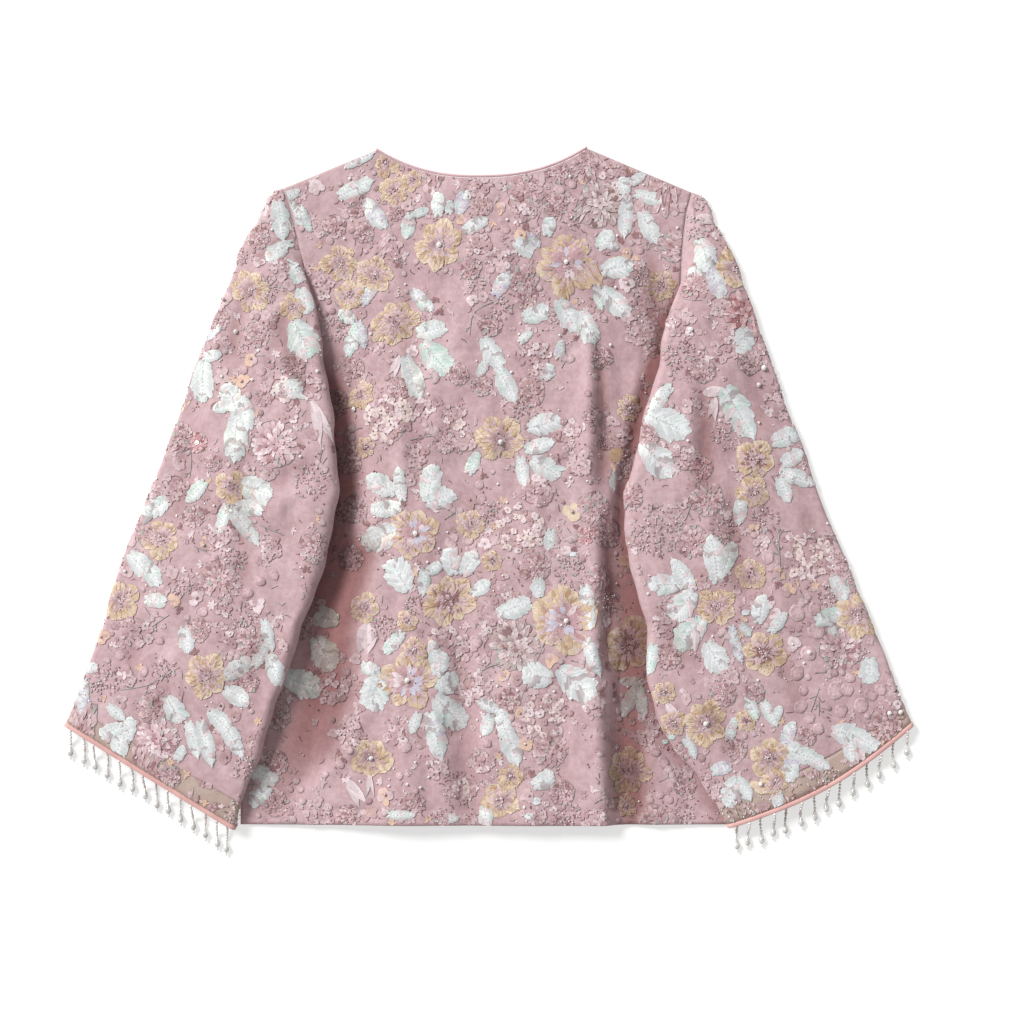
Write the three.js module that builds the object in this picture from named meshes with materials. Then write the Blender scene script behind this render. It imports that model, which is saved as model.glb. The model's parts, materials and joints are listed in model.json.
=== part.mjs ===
// A cropped evening cardigan of embroidered net over a pink lining, lying flat on
// its two fronts with the back up and the sleeves turned down along the sides.
// Millimetres, +X to the picture's right, +Y towards the neck, +Z up from the floor.
import * as THREE from 'three';

// ---------------------------------------------------------------- named sizes
const BODY_WALL = 1.5; // net, lining and embroidery ground together
const HEM_WALL = 2.1; // the same, turned up once
const HEM_DEPTH = 13; // height of the turned hem
const NET_WALL = 1.2; // outer sleeve
const LINING_WALL = 1.0; // sleeve lining
const SEAM_GAP = 0.3; // between neighbouring pieces
const EDGE_GAP = 0.4; // armhole edge to sleeve edge, in plan
const STACK = BODY_WALL + SEAM_GAP; // underside of the back where it is sewn to the fronts
const REST_GAP = 1.5; // sleeve over the back, room for the embroidery of both
const BODY_LOFT = 12; // how far the middle of the back stands off the fronts
const NECK_SETTLE = 0.45; // share of that loft lost at the neck edge
const SIDE_PLATEAU = 4.8; // height of the sleeve's underside over the body's side seam
const CUFF_BINDING = 4; // width of the salmon binding at the cuff
const BINDING_WALL = 1.5;
const FRINGE_DROP = 26; // length of the bead strands
const FRINGE_WALL = 2.4;
const NECK_BINDING = 2.4; // width of the rolled neck edge
const FRONT_GAP = 2; // between the two fronts at centre front
const FRONT_NECK_DROP = 84; // depth of the front neck under the back
const NECK_L = { x: -100.3, y: 309.8 };
const NECK_R = { x: 87.1, y: 311.5 };
const NECK_LOW = 285.1; // lowest point of the back neck edge
const HEM_Y = -284.2;
const CENTRE_FRONT = { top: -6.2, hem: -1.8 }; // x of the centre line
const SHIFT = { x: 0.07, y: 0.59 }; // puts the middle of the whole at x = y = 0

// -------------------------------------------------------------- small helpers
const clamp01 = (t) => Math.min(1, Math.max(0, t));
const lerp = (a, b, t) => a + (b - a) * t;
const rise = (a, b, x) => {
  const t = clamp01((x - a) / (b - a));
  return t * t * (3 - 2 * t);
};
const table = (names, rows) => rows.map((r) => Object.fromEntries(names.map((n, i) => [n, r[i]])));

// ------------------------------------------------------------ cut of the body
// One row for each step up the side seam and the armhole: where the body's edge
// lies at the picture's left and right.
const SIDES = table(['name', 'leftX', 'leftY', 'rightX', 'rightY'], [
  ['hem', -219.1, -284.2, 216.5, -284.2],
  ['hem fold', -219.1, -271.2, 216.5, -271.2],
  ['above hem', -219.1, -269.7, 216.5, -269.7],
  ['side 1', -219.1, -234, 216.5, -234],
  ['side 2', -219.1, -196, 216.5, -196],
  ['side 3', -219.1, -156, 216.5, -156],
  ['side 4', -219.1, -116, 216.5, -116],
  ['side 5', -219.1, -76, 216.5, -76],
  ['side 6', -219.1, -36, 216.5, -36],
  ['side 7', -219.1, 6, 216.5, 6],
  ['side 8', -219.1, 46, 216.5, 46],
  ['underarm', -219.1, 85.4, 216.5, 85.4],
  ['armhole 1', -184.8, 112.6, 188.3, 112.6],
  ['armhole 2', -169.0, 144.3, 175.1, 142.6],
  ['armhole 3', -162.8, 176.0, 169.0, 170.7],
  ['armhole 4', -162.8, 204.2, 169.0, 195.4],
  ['armhole 5', -166.3, 221.8, 169.8, 216.5],
  ['armhole 6', -170.7, 241.1, 171.6, 237.6],
  ['armhole 7', -176.0, 261.4, 174.2, 257.0],
  ['shoulder tip', -181.3, 276.3, 178.6, 272.8],
]);

// The large folds of the back: soft ridges (+) and troughs (-), each along a line.
const FOLDS = table(['name', 'x1', 'y1', 'x2', 'y2', 'width', 'height'], [
  ['ridge beside the right trough', 92, 180, 99, -300, 17, 4.5],
  ['trough beside the right sleeve', 116, 150, 121, -300, 15, -3.2],
  ['ridge left of the middle', -62, 120, -70, -300, 30, 2.0],
  ['trough left of the middle', -20, 60, -28, -300, 22, -1.8],
  ['ridge right of the middle', 34, 90, 40, -300, 26, 1.6],
]);

const edgeX = (y, side) => {
  const x = side === 'left' ? 'leftX' : 'rightX';
  const h = side === 'left' ? 'leftY' : 'rightY';
  if (y <= SIDES[0][h]) return SIDES[0][x];
  for (let i = 1; i < SIDES.length; i++) {
    if (y <= SIDES[i][h]) {
      return lerp(SIDES[i - 1][x], SIDES[i][x], (y - SIDES[i - 1][h]) / (SIDES[i][h] - SIDES[i - 1][h]));
    }
  }
  return SIDES[SIDES.length - 1][x];
};

const lastSide = SIDES[SIDES.length - 1];
const shoulderLine = (x) => {
  const left = lerp(lastSide.leftY, NECK_L.y, (x - lastSide.leftX) / (NECK_L.x - lastSide.leftX));
  const right = lerp(lastSide.rightY, NECK_R.y, (x - lastSide.rightX) / (NECK_R.x - lastSide.rightX));
  return Math.min(left, right);
};

const alongFold = (f, x, y) => {
  const dx = f.x2 - f.x1;
  const dy = f.y2 - f.y1;
  const len2 = dx * dx + dy * dy;
  const t = ((x - f.x1) * dx + (y - f.y1) * dy) / len2;
  const off = ((x - f.x1) * dy - (y - f.y1) * dx) / Math.sqrt(len2);
  return f.height * Math.exp(-((off / f.width) ** 2)) * rise(-0.12, 0.18, t) * (1 - rise(1.0, 1.2, t));
};

// Underside of the back over the floor.
const backUnder = (x, y) => {
  const fromSide = Math.min(x - edgeX(y, 'left'), edgeX(y, 'right') - x);
  const fromShoulder = shoulderLine(x) - y;
  const envelope = rise(22, 165, fromSide) * rise(2, 80, fromShoulder) * (1 - NECK_SETTLE * rise(190, 300, y));
  let z = BODY_LOFT * envelope;
  const reach = rise(30, 90, fromSide) * rise(10, 80, fromShoulder);
  for (const f of FOLDS) z += alongFold(f, x, y) * reach;
  return STACK + Math.max(0, z);
};
const backTop = (x, y) => backUnder(x, y) + BODY_WALL;

// Outer face of a sleeve's underside: on the floor beside the body, over the body inside it.
const sleeveUnder = (x, y, side) => {
  const inside = side === 'left' ? x - edgeX(y, 'left') : edgeX(y, 'right') - x;
  const belowHem = 1 - rise(0, 24, HEM_Y - y);
  if (inside <= 0) return SIDE_PLATEAU * rise(-36, -6, inside) * belowHem;
  return Math.max(SIDE_PLATEAU, backTop(x, y) + REST_GAP) * belowHem;
};

// ---------------------------------------------------------------- the sleeves
// One row for each section from the top of the cap to the cuff.  seam: where the
// section meets the armhole (or the underarm seam); inner: its fold over the body;
// outer: its fold on the floor; turn: how far the fold over the body has turned,
// in degrees; innerR and outerR: radii of the folds; puff: how far the top layer
// swells between them; bow: how far the section bends towards the cuff.
const SECTION = ['seamX', 'seamY', 'innerX', 'innerY', 'outerX', 'outerY', 'turn', 'innerR', 'outerR', 'puff', 'bow'];
const SLEEVES = {
  left: table(SECTION, [
    [-181.7, 276.4, -181.7, 276.4, -186.6, 274.6, 0, 0, 1.9, 0.3, 0],
    [-176.4, 261.3, -176.4, 261.3, -195.4, 265.8, 0, 0, 2.6, 1.2, 0],
    [-171.1, 241.0, -171.1, 241.0, -204.2, 246.4, 0, 0, 3.0, 2.8, 0],
    [-166.7, 221.8, -166.7, 221.8, -216.5, 227.9, 0, 0, 3.4, 4.4, 0],
    [-163.2, 204.2, -163.2, 204.2, -223.5, 205.9, 90, 3.4, 3.6, 4.6, 0],
    [-163.2, 176.0, -154.0, 177.8, -234.1, 178.6, 180, 4.2, 3.8, 4.4, 0],
    [-169.4, 144.5, -147.8, 146.1, -247.3, 147.0, 180, 6.4, 4.0, 4.4, 0],
    [-185.2, 112.9, -142.6, 112.6, -260.5, 114.4, 180, 7.8, 4.0, 4.6, 0],
    [-220.6, 86.4, -137.3, 79.2, -271.0, 81.0, 180, 8.5, 4.0, 5, 0],
    [-221.0, 45.8, -133.8, 45.8, -284.2, 45.8, 180, 8.8, 4.0, 5, 0],
    [-221.0, 11.0, -132.0, 10.6, -297.4, 12.3, 180, 9.0, 4.0, 5, 0],
    [-221.0, -24.6, -139.9, -30.8, -308.9, -16.7, 180, 9.0, 4.0, 5, 0],
    [-221.0, -61.3, -153.1, -72.2, -321.2, -45.8, 180, 8.8, 4.0, 5, 0],
    [-221.0, -98.7, -168.1, -114.4, -330.9, -75.7, 180, 8.4, 4.0, 5, 0],
    [-221.0, -137.9, -182.2, -156.6, -338.8, -105.6, 180, 7.8, 4.0, 4.8, 0],
    [-221.0, -189.5, -197.1, -199.8, -349.4, -134.6, 180, 7.0, 4.0, 4.6, 0],
    [-232.0, -230.2, -210.3, -241.1, -359.9, -164.6, 180, 5.8, 4.0, 4.2, 0],
    [-246.0, -270.8, -222.6, -285.1, -372.2, -193.6, 180, 4.6, 4.0, 3.6, 0],
  ]),
  right: table(SECTION, [
    [179.0, 272.9, 179.0, 272.9, 184.2, 270.6, 0, 0, 1.9, 0.3, 0],
    [174.6, 256.9, 174.6, 256.9, 192.7, 263.1, 0, 0, 2.6, 1.2, 0],
    [172.0, 237.5, 172.0, 237.5, 199.6, 243.8, 0, 0, 3.0, 2.8, 0],
    [170.2, 216.5, 170.2, 216.5, 210.3, 226.2, 0, 0, 3.4, 4.4, 0],
    [169.4, 195.4, 169.4, 195.4, 221.8, 198.0, 90, 3.4, 3.6, 4.6, 0],
    [169.4, 170.7, 160.2, 170.7, 231.4, 170.7, 180, 4.2, 3.8, 4.4, 0],
    [175.5, 142.8, 152.2, 142.6, 241.1, 142.6, 180, 6.4, 4.0, 4.4, 0],
    [188.7, 112.9, 147.0, 112.6, 252.6, 112.6, 180, 7.4, 4.0, 4.6, 0],
    [218.0, 86.4, 138.2, 82.7, 261.4, 82.7, 180, 7.8, 4.0, 5, 0],
    [218.4, 49.3, 130.2, 49.3, 276.3, 49.3, 180, 8.0, 4.0, 5, 0],
    [218.4, 13.3, 121.4, 12.3, 287.8, 14.1, 180, 8.0, 4.0, 5, 0],
    [218.4, -22.1, 118.8, -29.9, 299.2, -15.8, 180, 7.8, 4.0, 5, 0],
    [218.4, -59.2, 128.5, -72.2, 312.4, -45.8, 180, 7.4, 4.0, 5, 0],
    [218.4, -97.4, 138.2, -114.4, 323.8, -75.7, 180, 7.0, 4.0, 5, 0],
    [218.4, -135.5, 139.9, -156.6, 336.2, -105.6, 180, 6.6, 4.0, 4.8, 1],
    [218.4, -177.2, 151.4, -198.9, 349.4, -135.5, 180, 6.2, 4.0, 4.6, 4],
    [218.4, -225.1, 183.0, -240.2, 359.0, -164.6, 180, 5.6, 4.0, 4.2, 7],
    [232.0, -271.0, 209.4, -283.4, 372.2, -193.6, 180, 4.6, 4.0, 3.6, 11],
  ]),
};
const CLOSED_FROM = 8; // the underarm: below it the sleeve is a closed tube
const LINING_END = 0.55; // the lining stops this far along the last stretch, 18 mm short of the cuff
const STEPS = { tuck: 5, innerFold: 4, top: 8, outerFold: 3, under: 6 };
const AROUND = STEPS.tuck + STEPS.innerFold + STEPS.top + STEPS.outerFold + STEPS.under;

// The outer face of one section, as points with the direction into the sleeve.
const sleeveSection = (row, side, closed) => {
  const ex = row.outerX - row.innerX;
  const ey = row.outerY - row.innerY;
  const len = Math.hypot(ex, ey);
  const e = { x: ex / len, y: ey / len };
  const toCuff = side === 'left' ? { x: e.y, y: -e.x } : { x: -e.y, y: e.x };
  const down = toCuff.y > 0 ? { x: -toCuff.x, y: -toCuff.y } : toCuff;
  const seamA = (row.seamX - row.innerX) * e.x + (row.seamY - row.innerY) * e.y;
  const seamP = (row.seamX - row.innerX) * down.x + (row.seamY - row.innerY) * down.y;
  const place = (a, pull) => {
    const p = row.bow * Math.sin(Math.PI * clamp01(a / len)) + seamP * pull;
    return { x: row.innerX + e.x * a + down.x * p, y: row.innerY + e.y * a + down.y * p };
  };
  const underAt = (a, pull) => {
    const q = place(a, pull);
    return sleeveUnder(q.x, q.y, side);
  };
  const flat = []; // { a, z, pull }
  const { tuck, innerFold, top, outerFold, under } = STEPS;
  const r = row.innerR;
  const R = row.outerR;
  const outerTop = 2 * R;
  let startA;
  let startZ;
  let lead;
  if (row.turn === 0) {
    // no fold yet: the top layer leaves the armhole directly
    lead = Math.min(15, len * 0.35);
    const n = tuck + innerFold;
    const z0 = STACK + BODY_WALL;
    for (let k = 0; k < n; k++) {
      const a = (lead * k) / n;
      const w = a / (len - R);
      flat.push({ a, z: lerp(z0, outerTop, w) + row.puff * Math.sin(Math.PI * w), pull: 0 });
    }
    startA = lead;
    startZ = null;
  } else {
    let bottom;
    let zc;
    if (row.turn === 90) {
      const z0 = STACK + BODY_WALL - 0.3;
      zc = z0 + 3;
      for (let k = 0; k < tuck; k++) flat.push({ a: 0, z: lerp(z0, zc, k / tuck), pull: 0 });
      bottom = Math.PI / 2;
    } else {
      const base = underAt(r, 0);
      zc = base + r;
      for (let k = 0; k < tuck; k++) {
        const a = lerp(seamA, r, k / tuck);
        const pull = 1 - k / tuck;
        const z = !closed && k === 0 ? STACK + BODY_WALL + 0.5 : underAt(a, pull);
        flat.push({ a, z, pull });
      }
      bottom = 0;
    }
    for (let k = 0; k < innerFold; k++) {
      const phi = lerp(bottom, Math.PI, k / innerFold);
      flat.push({ a: r - r * Math.sin(phi), z: zc - r * Math.cos(phi), pull: 0 });
    }
    startA = r;
    startZ = zc + r;
  }
  for (let k = 0; k < top; k++) {
    const a = lerp(startA, len - R, k / top);
    let z;
    if (startZ === null) {
      const w = a / (len - R);
      z = lerp(STACK + BODY_WALL, outerTop, w) + row.puff * Math.sin(Math.PI * w);
    } else {
      const w = k / top;
      z = outerTop + (startZ - outerTop) * (1 - w) ** 1.25 + row.puff * Math.sin(Math.PI * w);
    }
    flat.push({ a, z, pull: 0 });
  }
  for (let k = 0; k < outerFold; k++) {
    const phi = (Math.PI * k) / outerFold;
    flat.push({ a: len - R + R * Math.sin(phi), z: R + R * Math.cos(phi), pull: 0 });
  }
  for (let k = 0; k <= under; k++) {
    const a = lerp(len - R, seamA, k / under);
    const pull = k / under;
    flat.push({ a, z: closed ? underAt(a, pull) : 0, pull });
  }
  const n = flat.length - 1; // the last point is the first again on a closed section
  return flat.map((p, i) => {
    const before = closed ? flat[(i - 1 + n) % n] : flat[Math.max(0, i - 1)];
    const after = closed ? flat[(i + 1) % n] : flat[Math.min(n, i + 1)];
    const ta = after.a - before.a;
    const tz = after.z - before.z;
    const tl = Math.hypot(ta, tz);
    const q = place(p.a, p.pull);
    return {
      at: new THREE.Vector3(q.x, q.y, p.z),
      into: new THREE.Vector3((e.x * tz) / tl, (e.y * tz) / tl, -ta / tl),
    };
  });
};

const offset = (section, depth) => section.map((p) => p.at.clone().addScaledVector(p.into, depth));

// ------------------------------------------------------------------- solids
class Solid {
  constructor() {
    this.points = [];
    this.faces = [];
  }
  add(v) {
    this.points.push(v.x, v.y, v.z);
    return this.points.length / 3 - 1;
  }
  quad(a, b, c, d) {
    this.faces.push(a, b, c, a, c, d);
  }
  geometry() {
    const p = this.points;
    const f = this.faces;
    let volume = 0;
    const v = [new THREE.Vector3(), new THREE.Vector3(), new THREE.Vector3()];
    for (let i = 0; i < f.length; i += 3) {
      for (let k = 0; k < 3; k++) v[k].fromArray(p, f[i + k] * 3);
      volume += v[0].dot(v[1].clone().cross(v[2])) / 6;
    }
    if (volume < 0) for (let i = 0; i < f.length; i += 3) [f[i + 1], f[i + 2]] = [f[i + 2], f[i + 1]];
    const g = new THREE.BufferGeometry();
    g.setAttribute('position', new THREE.Float32BufferAttribute(p, 3));
    g.setIndex(f);
    g.computeVertexNormals();
    return g;
  }
}

// A wall between two matching grids of points.  wrapFrom: from that row on, the
// last column is the first one again.
const wall = (outside, inside, wrapFrom = Infinity) => {
  const s = new Solid();
  const rows = outside.length;
  const cols = outside[0].length;
  const number = (grid) => grid.map((row, i) => {
    const ids = row.slice(0, i >= wrapFrom ? cols - 1 : cols).map((q) => s.add(q));
    if (i >= wrapFrom) ids.push(ids[0]);
    return ids;
  });
  const o = number(outside);
  const n = number(inside);
  for (let i = 0; i < rows - 1; i++) {
    for (let j = 0; j < cols - 1; j++) {
      s.quad(o[i][j], o[i][j + 1], o[i + 1][j + 1], o[i + 1][j]);
      s.quad(n[i][j], n[i + 1][j], n[i + 1][j + 1], n[i][j + 1]);
    }
    if (i < wrapFrom) {
      s.quad(o[i][0], o[i + 1][0], n[i + 1][0], n[i][0]);
      s.quad(o[i][cols - 1], n[i][cols - 1], n[i + 1][cols - 1], o[i + 1][cols - 1]);
    }
  }
  for (let j = 0; j < cols - 1; j++) {
    s.quad(o[0][j], n[0][j], n[0][j + 1], o[0][j + 1]);
    s.quad(o[rows - 1][j], o[rows - 1][j + 1], n[rows - 1][j + 1], n[rows - 1][j]);
  }
  return s.geometry();
};

// ----------------------------------------------------------------- materials
const cloth = (name, hex, roughness = 0.8) => new THREE.MeshStandardMaterial({ name, color: hex, roughness, metalness: 0 });
const netPink = cloth('embroidered net over pink lining', 0xcda6af);
const netSheer = cloth('sheer net', 0xd3b3b4);
const liningPink = cloth('pink lining', 0xd9a3ae, 0.6);
const salmon = cloth('salmon binding', 0xe4aaa5, 0.7);
const beads = cloth('clear silver beads', 0xd7d4d0, 0.25);

const garment = new THREE.Group();
const piece = (name, geometry, material) => {
  const mesh = new THREE.Mesh(geometry, material);
  mesh.name = name;
  garment.add(mesh);
  return mesh;
};

// ------------------------------------------------------------------ the back
const SHOULDER_STEPS = 6;
const NECK_STEPS = 12;
const ACROSS = 2 * SHOULDER_STEPS + NECK_STEPS;

const backNeck = (w) => {
  // w from 0 at the left neck point to 1 at the right: a shallow scoop
  const base = { x: lerp(NECK_L.x, NECK_R.x, w), y: lerp(NECK_L.y, NECK_R.y, w) };
  const drop = lerp(NECK_L.y, NECK_R.y, 0.5) - NECK_LOW;
  return { x: base.x, y: base.y - drop * (1 - Math.abs(2 * w - 1) ** 2.3) };
};

const topEdge = (j) => {
  if (j <= SHOULDER_STEPS) {
    const t = j / SHOULDER_STEPS;
    return { x: lerp(lastSide.leftX, NECK_L.x, t), y: lerp(lastSide.leftY, NECK_L.y, t) };
  }
  if (j >= SHOULDER_STEPS + NECK_STEPS) {
    const t = (j - SHOULDER_STEPS - NECK_STEPS) / SHOULDER_STEPS;
    return { x: lerp(NECK_R.x, lastSide.rightX, t), y: lerp(NECK_R.y, lastSide.rightY, t) };
  }
  return backNeck((j - SHOULDER_STEPS) / NECK_STEPS);
};

const backPlan = () => {
  const rows = SIDES.length - 1;
  let run = 0;
  const t = [0];
  for (let i = 1; i <= rows; i++) {
    run += Math.hypot(SIDES[i].leftX - SIDES[i - 1].leftX, SIDES[i].leftY - SIDES[i - 1].leftY);
    t.push(run);
  }
  const grid = [];
  for (let i = 0; i <= rows; i++) {
    const ti = t[i] / run;
    const line = [];
    for (let j = 0; j <= ACROSS; j++) {
      const s = j / ACROSS;
      const top = topEdge(j);
      const at = (key) => {
        const low = lerp(SIDES[0]['left' + key], SIDES[0]['right' + key], s);
        const across = lerp(SIDES[i]['left' + key], SIDES[i]['right' + key], s);
        const corners = lerp(
          low,
          lerp(lastSide['left' + key], lastSide['right' + key], s),
          ti,
        );
        return across + lerp(low, top[key.toLowerCase()], ti) - corners;
      };
      line.push({ x: at('X'), y: at('Y') });
    }
    grid.push(line);
  }
  return grid;
};

const plan = backPlan();
const lowFace = plan.map((line) => line.map((q) => new THREE.Vector3(q.x, q.y, backUnder(q.x, q.y))));
const highFace = plan.map((line, i) => line.map((q) => new THREE.Vector3(q.x, q.y, backUnder(q.x, q.y) + (i < 2 ? HEM_WALL : BODY_WALL))));
piece('back', wall(highFace, lowFace), netPink);

// ---------------------------------------------------------------- the fronts
const frontNeck = (w, side) => {
  // w from 0 at the neck point to 1 at centre front: a round neckline
  const start = side === 'left' ? NECK_L : NECK_R;
  const endX = CENTRE_FRONT.top + (side === 'left' ? -FRONT_GAP / 2 : FRONT_GAP / 2);
  const a = (w * Math.PI) / 2;
  return { x: lerp(start.x, endX, 1 - Math.cos(a)), y: start.y - FRONT_NECK_DROP * Math.sin(a) };
};

const FRONT_NECK_STEPS = 8;
for (const side of ['left', 'right']) {
  const outline = [];
  for (const row of SIDES) {
    if (row.name.startsWith('side ') || row.name === 'hem fold' || row.name === 'above hem') continue;
    outline.push([row[side + 'X'], row[side + 'Y']]);
  }
  for (let k = 0; k <= FRONT_NECK_STEPS; k++) {
    const q = frontNeck(k / FRONT_NECK_STEPS, side);
    outline.push([q.x, q.y]);
  }
  outline.push([CENTRE_FRONT.hem + (side === 'left' ? -FRONT_GAP / 2 : FRONT_GAP / 2), HEM_Y]);
  const shape = new THREE.Shape(outline.map(([x, y]) => new THREE.Vector2(x, y)));
  piece('front_' + side, new THREE.ExtrudeGeometry(shape, { depth: BODY_WALL, bevelEnabled: false }), netPink);
}

// ------------------------------------------------------------- neck bindings
// A flat strip along an edge, on its open side.
const strip = (edge, away, low) => {
  const near = edge.map((q, i) => ({ x: q.x + away[i].x * SEAM_GAP, y: q.y + away[i].y * SEAM_GAP }));
  const far = edge.map((q, i) => ({ x: q.x + away[i].x * (SEAM_GAP + NECK_BINDING), y: q.y + away[i].y * (SEAM_GAP + NECK_BINDING) }));
  const grid = (z) => near.map((q, i) => [
    new THREE.Vector3(q.x, q.y, low[i] + z),
    new THREE.Vector3(far[i].x, far[i].y, low[i] + z),
  ]);
  return wall(grid(BINDING_WALL), grid(0));
};
const awayFrom = (edge, towards) => edge.map((q, i) => {
  const a = edge[Math.max(0, i - 1)];
  const b = edge[Math.min(edge.length - 1, i + 1)];
  const l = Math.hypot(b.x - a.x, b.y - a.y);
  const n = { x: -(b.y - a.y) / l, y: (b.x - a.x) / l };
  return n.x * towards.x + n.y * towards.y < 0 ? { x: -n.x, y: -n.y } : n;
});

const backEdge = [];
for (let k = 0; k <= NECK_STEPS; k++) backEdge.push(backNeck(k / NECK_STEPS));
piece('neck_binding_back', strip(backEdge, awayFrom(backEdge, { x: 0, y: 1 }), backEdge.map((q) => backUnder(q.x, q.y))), salmon);
for (const side of ['left', 'right']) {
  const edge = [];
  for (let k = 0; k <= FRONT_NECK_STEPS; k++) edge.push(frontNeck(k / FRONT_NECK_STEPS, side));
  const towards = { x: side === 'left' ? 1 : -1, y: 0.6 };
  piece('neck_binding_front_' + side, strip(edge, awayFrom(edge, towards), edge.map(() => 0)), salmon);
}

// ------------------------------------------------------------ sleeves, linings
for (const side of ['left', 'right']) {
  const rows = SLEEVES[side];
  const last = rows.length - 1;
  const sections = rows.map((row, i) => sleeveSection(row, side, i >= CLOSED_FROM));
  piece('sleeve_' + side, wall(sections.map((s) => offset(s, 0)), sections.map((s) => offset(s, NET_WALL)), CLOSED_FROM), netPink);

  // the lining shows only at the cuff, so it is a tube from below the underarm
  const ring = (depth) => {
    const rings = sections.slice(CLOSED_FROM + 1, last).map((sec) => offset(sec, depth));
    const a = rings[rings.length - 1];
    const b = offset(sections[last], depth);
    rings.push(a.map((q, j) => q.clone().lerp(b[j], LINING_END)));
    return rings;
  };
  const depth = NET_WALL + SEAM_GAP;
  piece('sleeve_lining_' + side, wall(ring(depth), ring(depth + LINING_WALL), 0), liningPink);

  // binding and fringe go on from the cuff
  const cuff = rows[last];
  const el = Math.hypot(cuff.outerX - cuff.innerX, cuff.outerY - cuff.innerY);
  const across = { x: (cuff.outerX - cuff.innerX) / el, y: (cuff.outerY - cuff.innerY) / el };
  const out = side === 'left' ? { x: across.y, y: -across.x } : { x: -across.y, y: across.x };
  const sign = out.y > 0 ? -1 : 1;
  const dir = new THREE.Vector3(out.x * sign, out.y * sign, 0);
  const moved = (by, depthIn, scale = 1) => sections[last].map((p) => {
    const q = p.at.clone().addScaledVector(p.into, depthIn).addScaledVector(by, 1);
    q.z *= scale;
    return q;
  });
  const along = (d) => dir.clone().multiplyScalar(d);
  piece('cuff_binding_' + side, wall(
    [moved(along(SEAM_GAP), 0), moved(along(SEAM_GAP + CUFF_BINDING), 0)],
    [moved(along(SEAM_GAP), BINDING_WALL), moved(along(SEAM_GAP + CUFF_BINDING), BINDING_WALL)],
    0,
  ), salmon);
  const from = along(2 * SEAM_GAP + CUFF_BINDING);
  const half = from.clone().add(new THREE.Vector3(0, -FRINGE_DROP / 2, 0));
  const to = from.clone().add(new THREE.Vector3(0, -FRINGE_DROP, 0));
  piece('fringe_' + side, wall(
    [moved(from, 0), moved(half, 0), moved(to, 0, 0.8)],
    [moved(from, FRINGE_WALL), moved(half, FRINGE_WALL), moved(to, FRINGE_WALL, 0.8)],
    0,
  ), beads);
}

garment.children.forEach((m) => m.geometry.translate(SHIFT.x, SHIFT.y, 0));

export default garment;
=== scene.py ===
# The cardigan's looks: cloth shells on the frame's solids, embroidery of sequins,
# thread flowers and beads, bindings and bead fringes.  Lengths here are in
# millimetres in the frame's axes, and go into the meshes in metres.
import bpy
import json
import math

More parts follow.
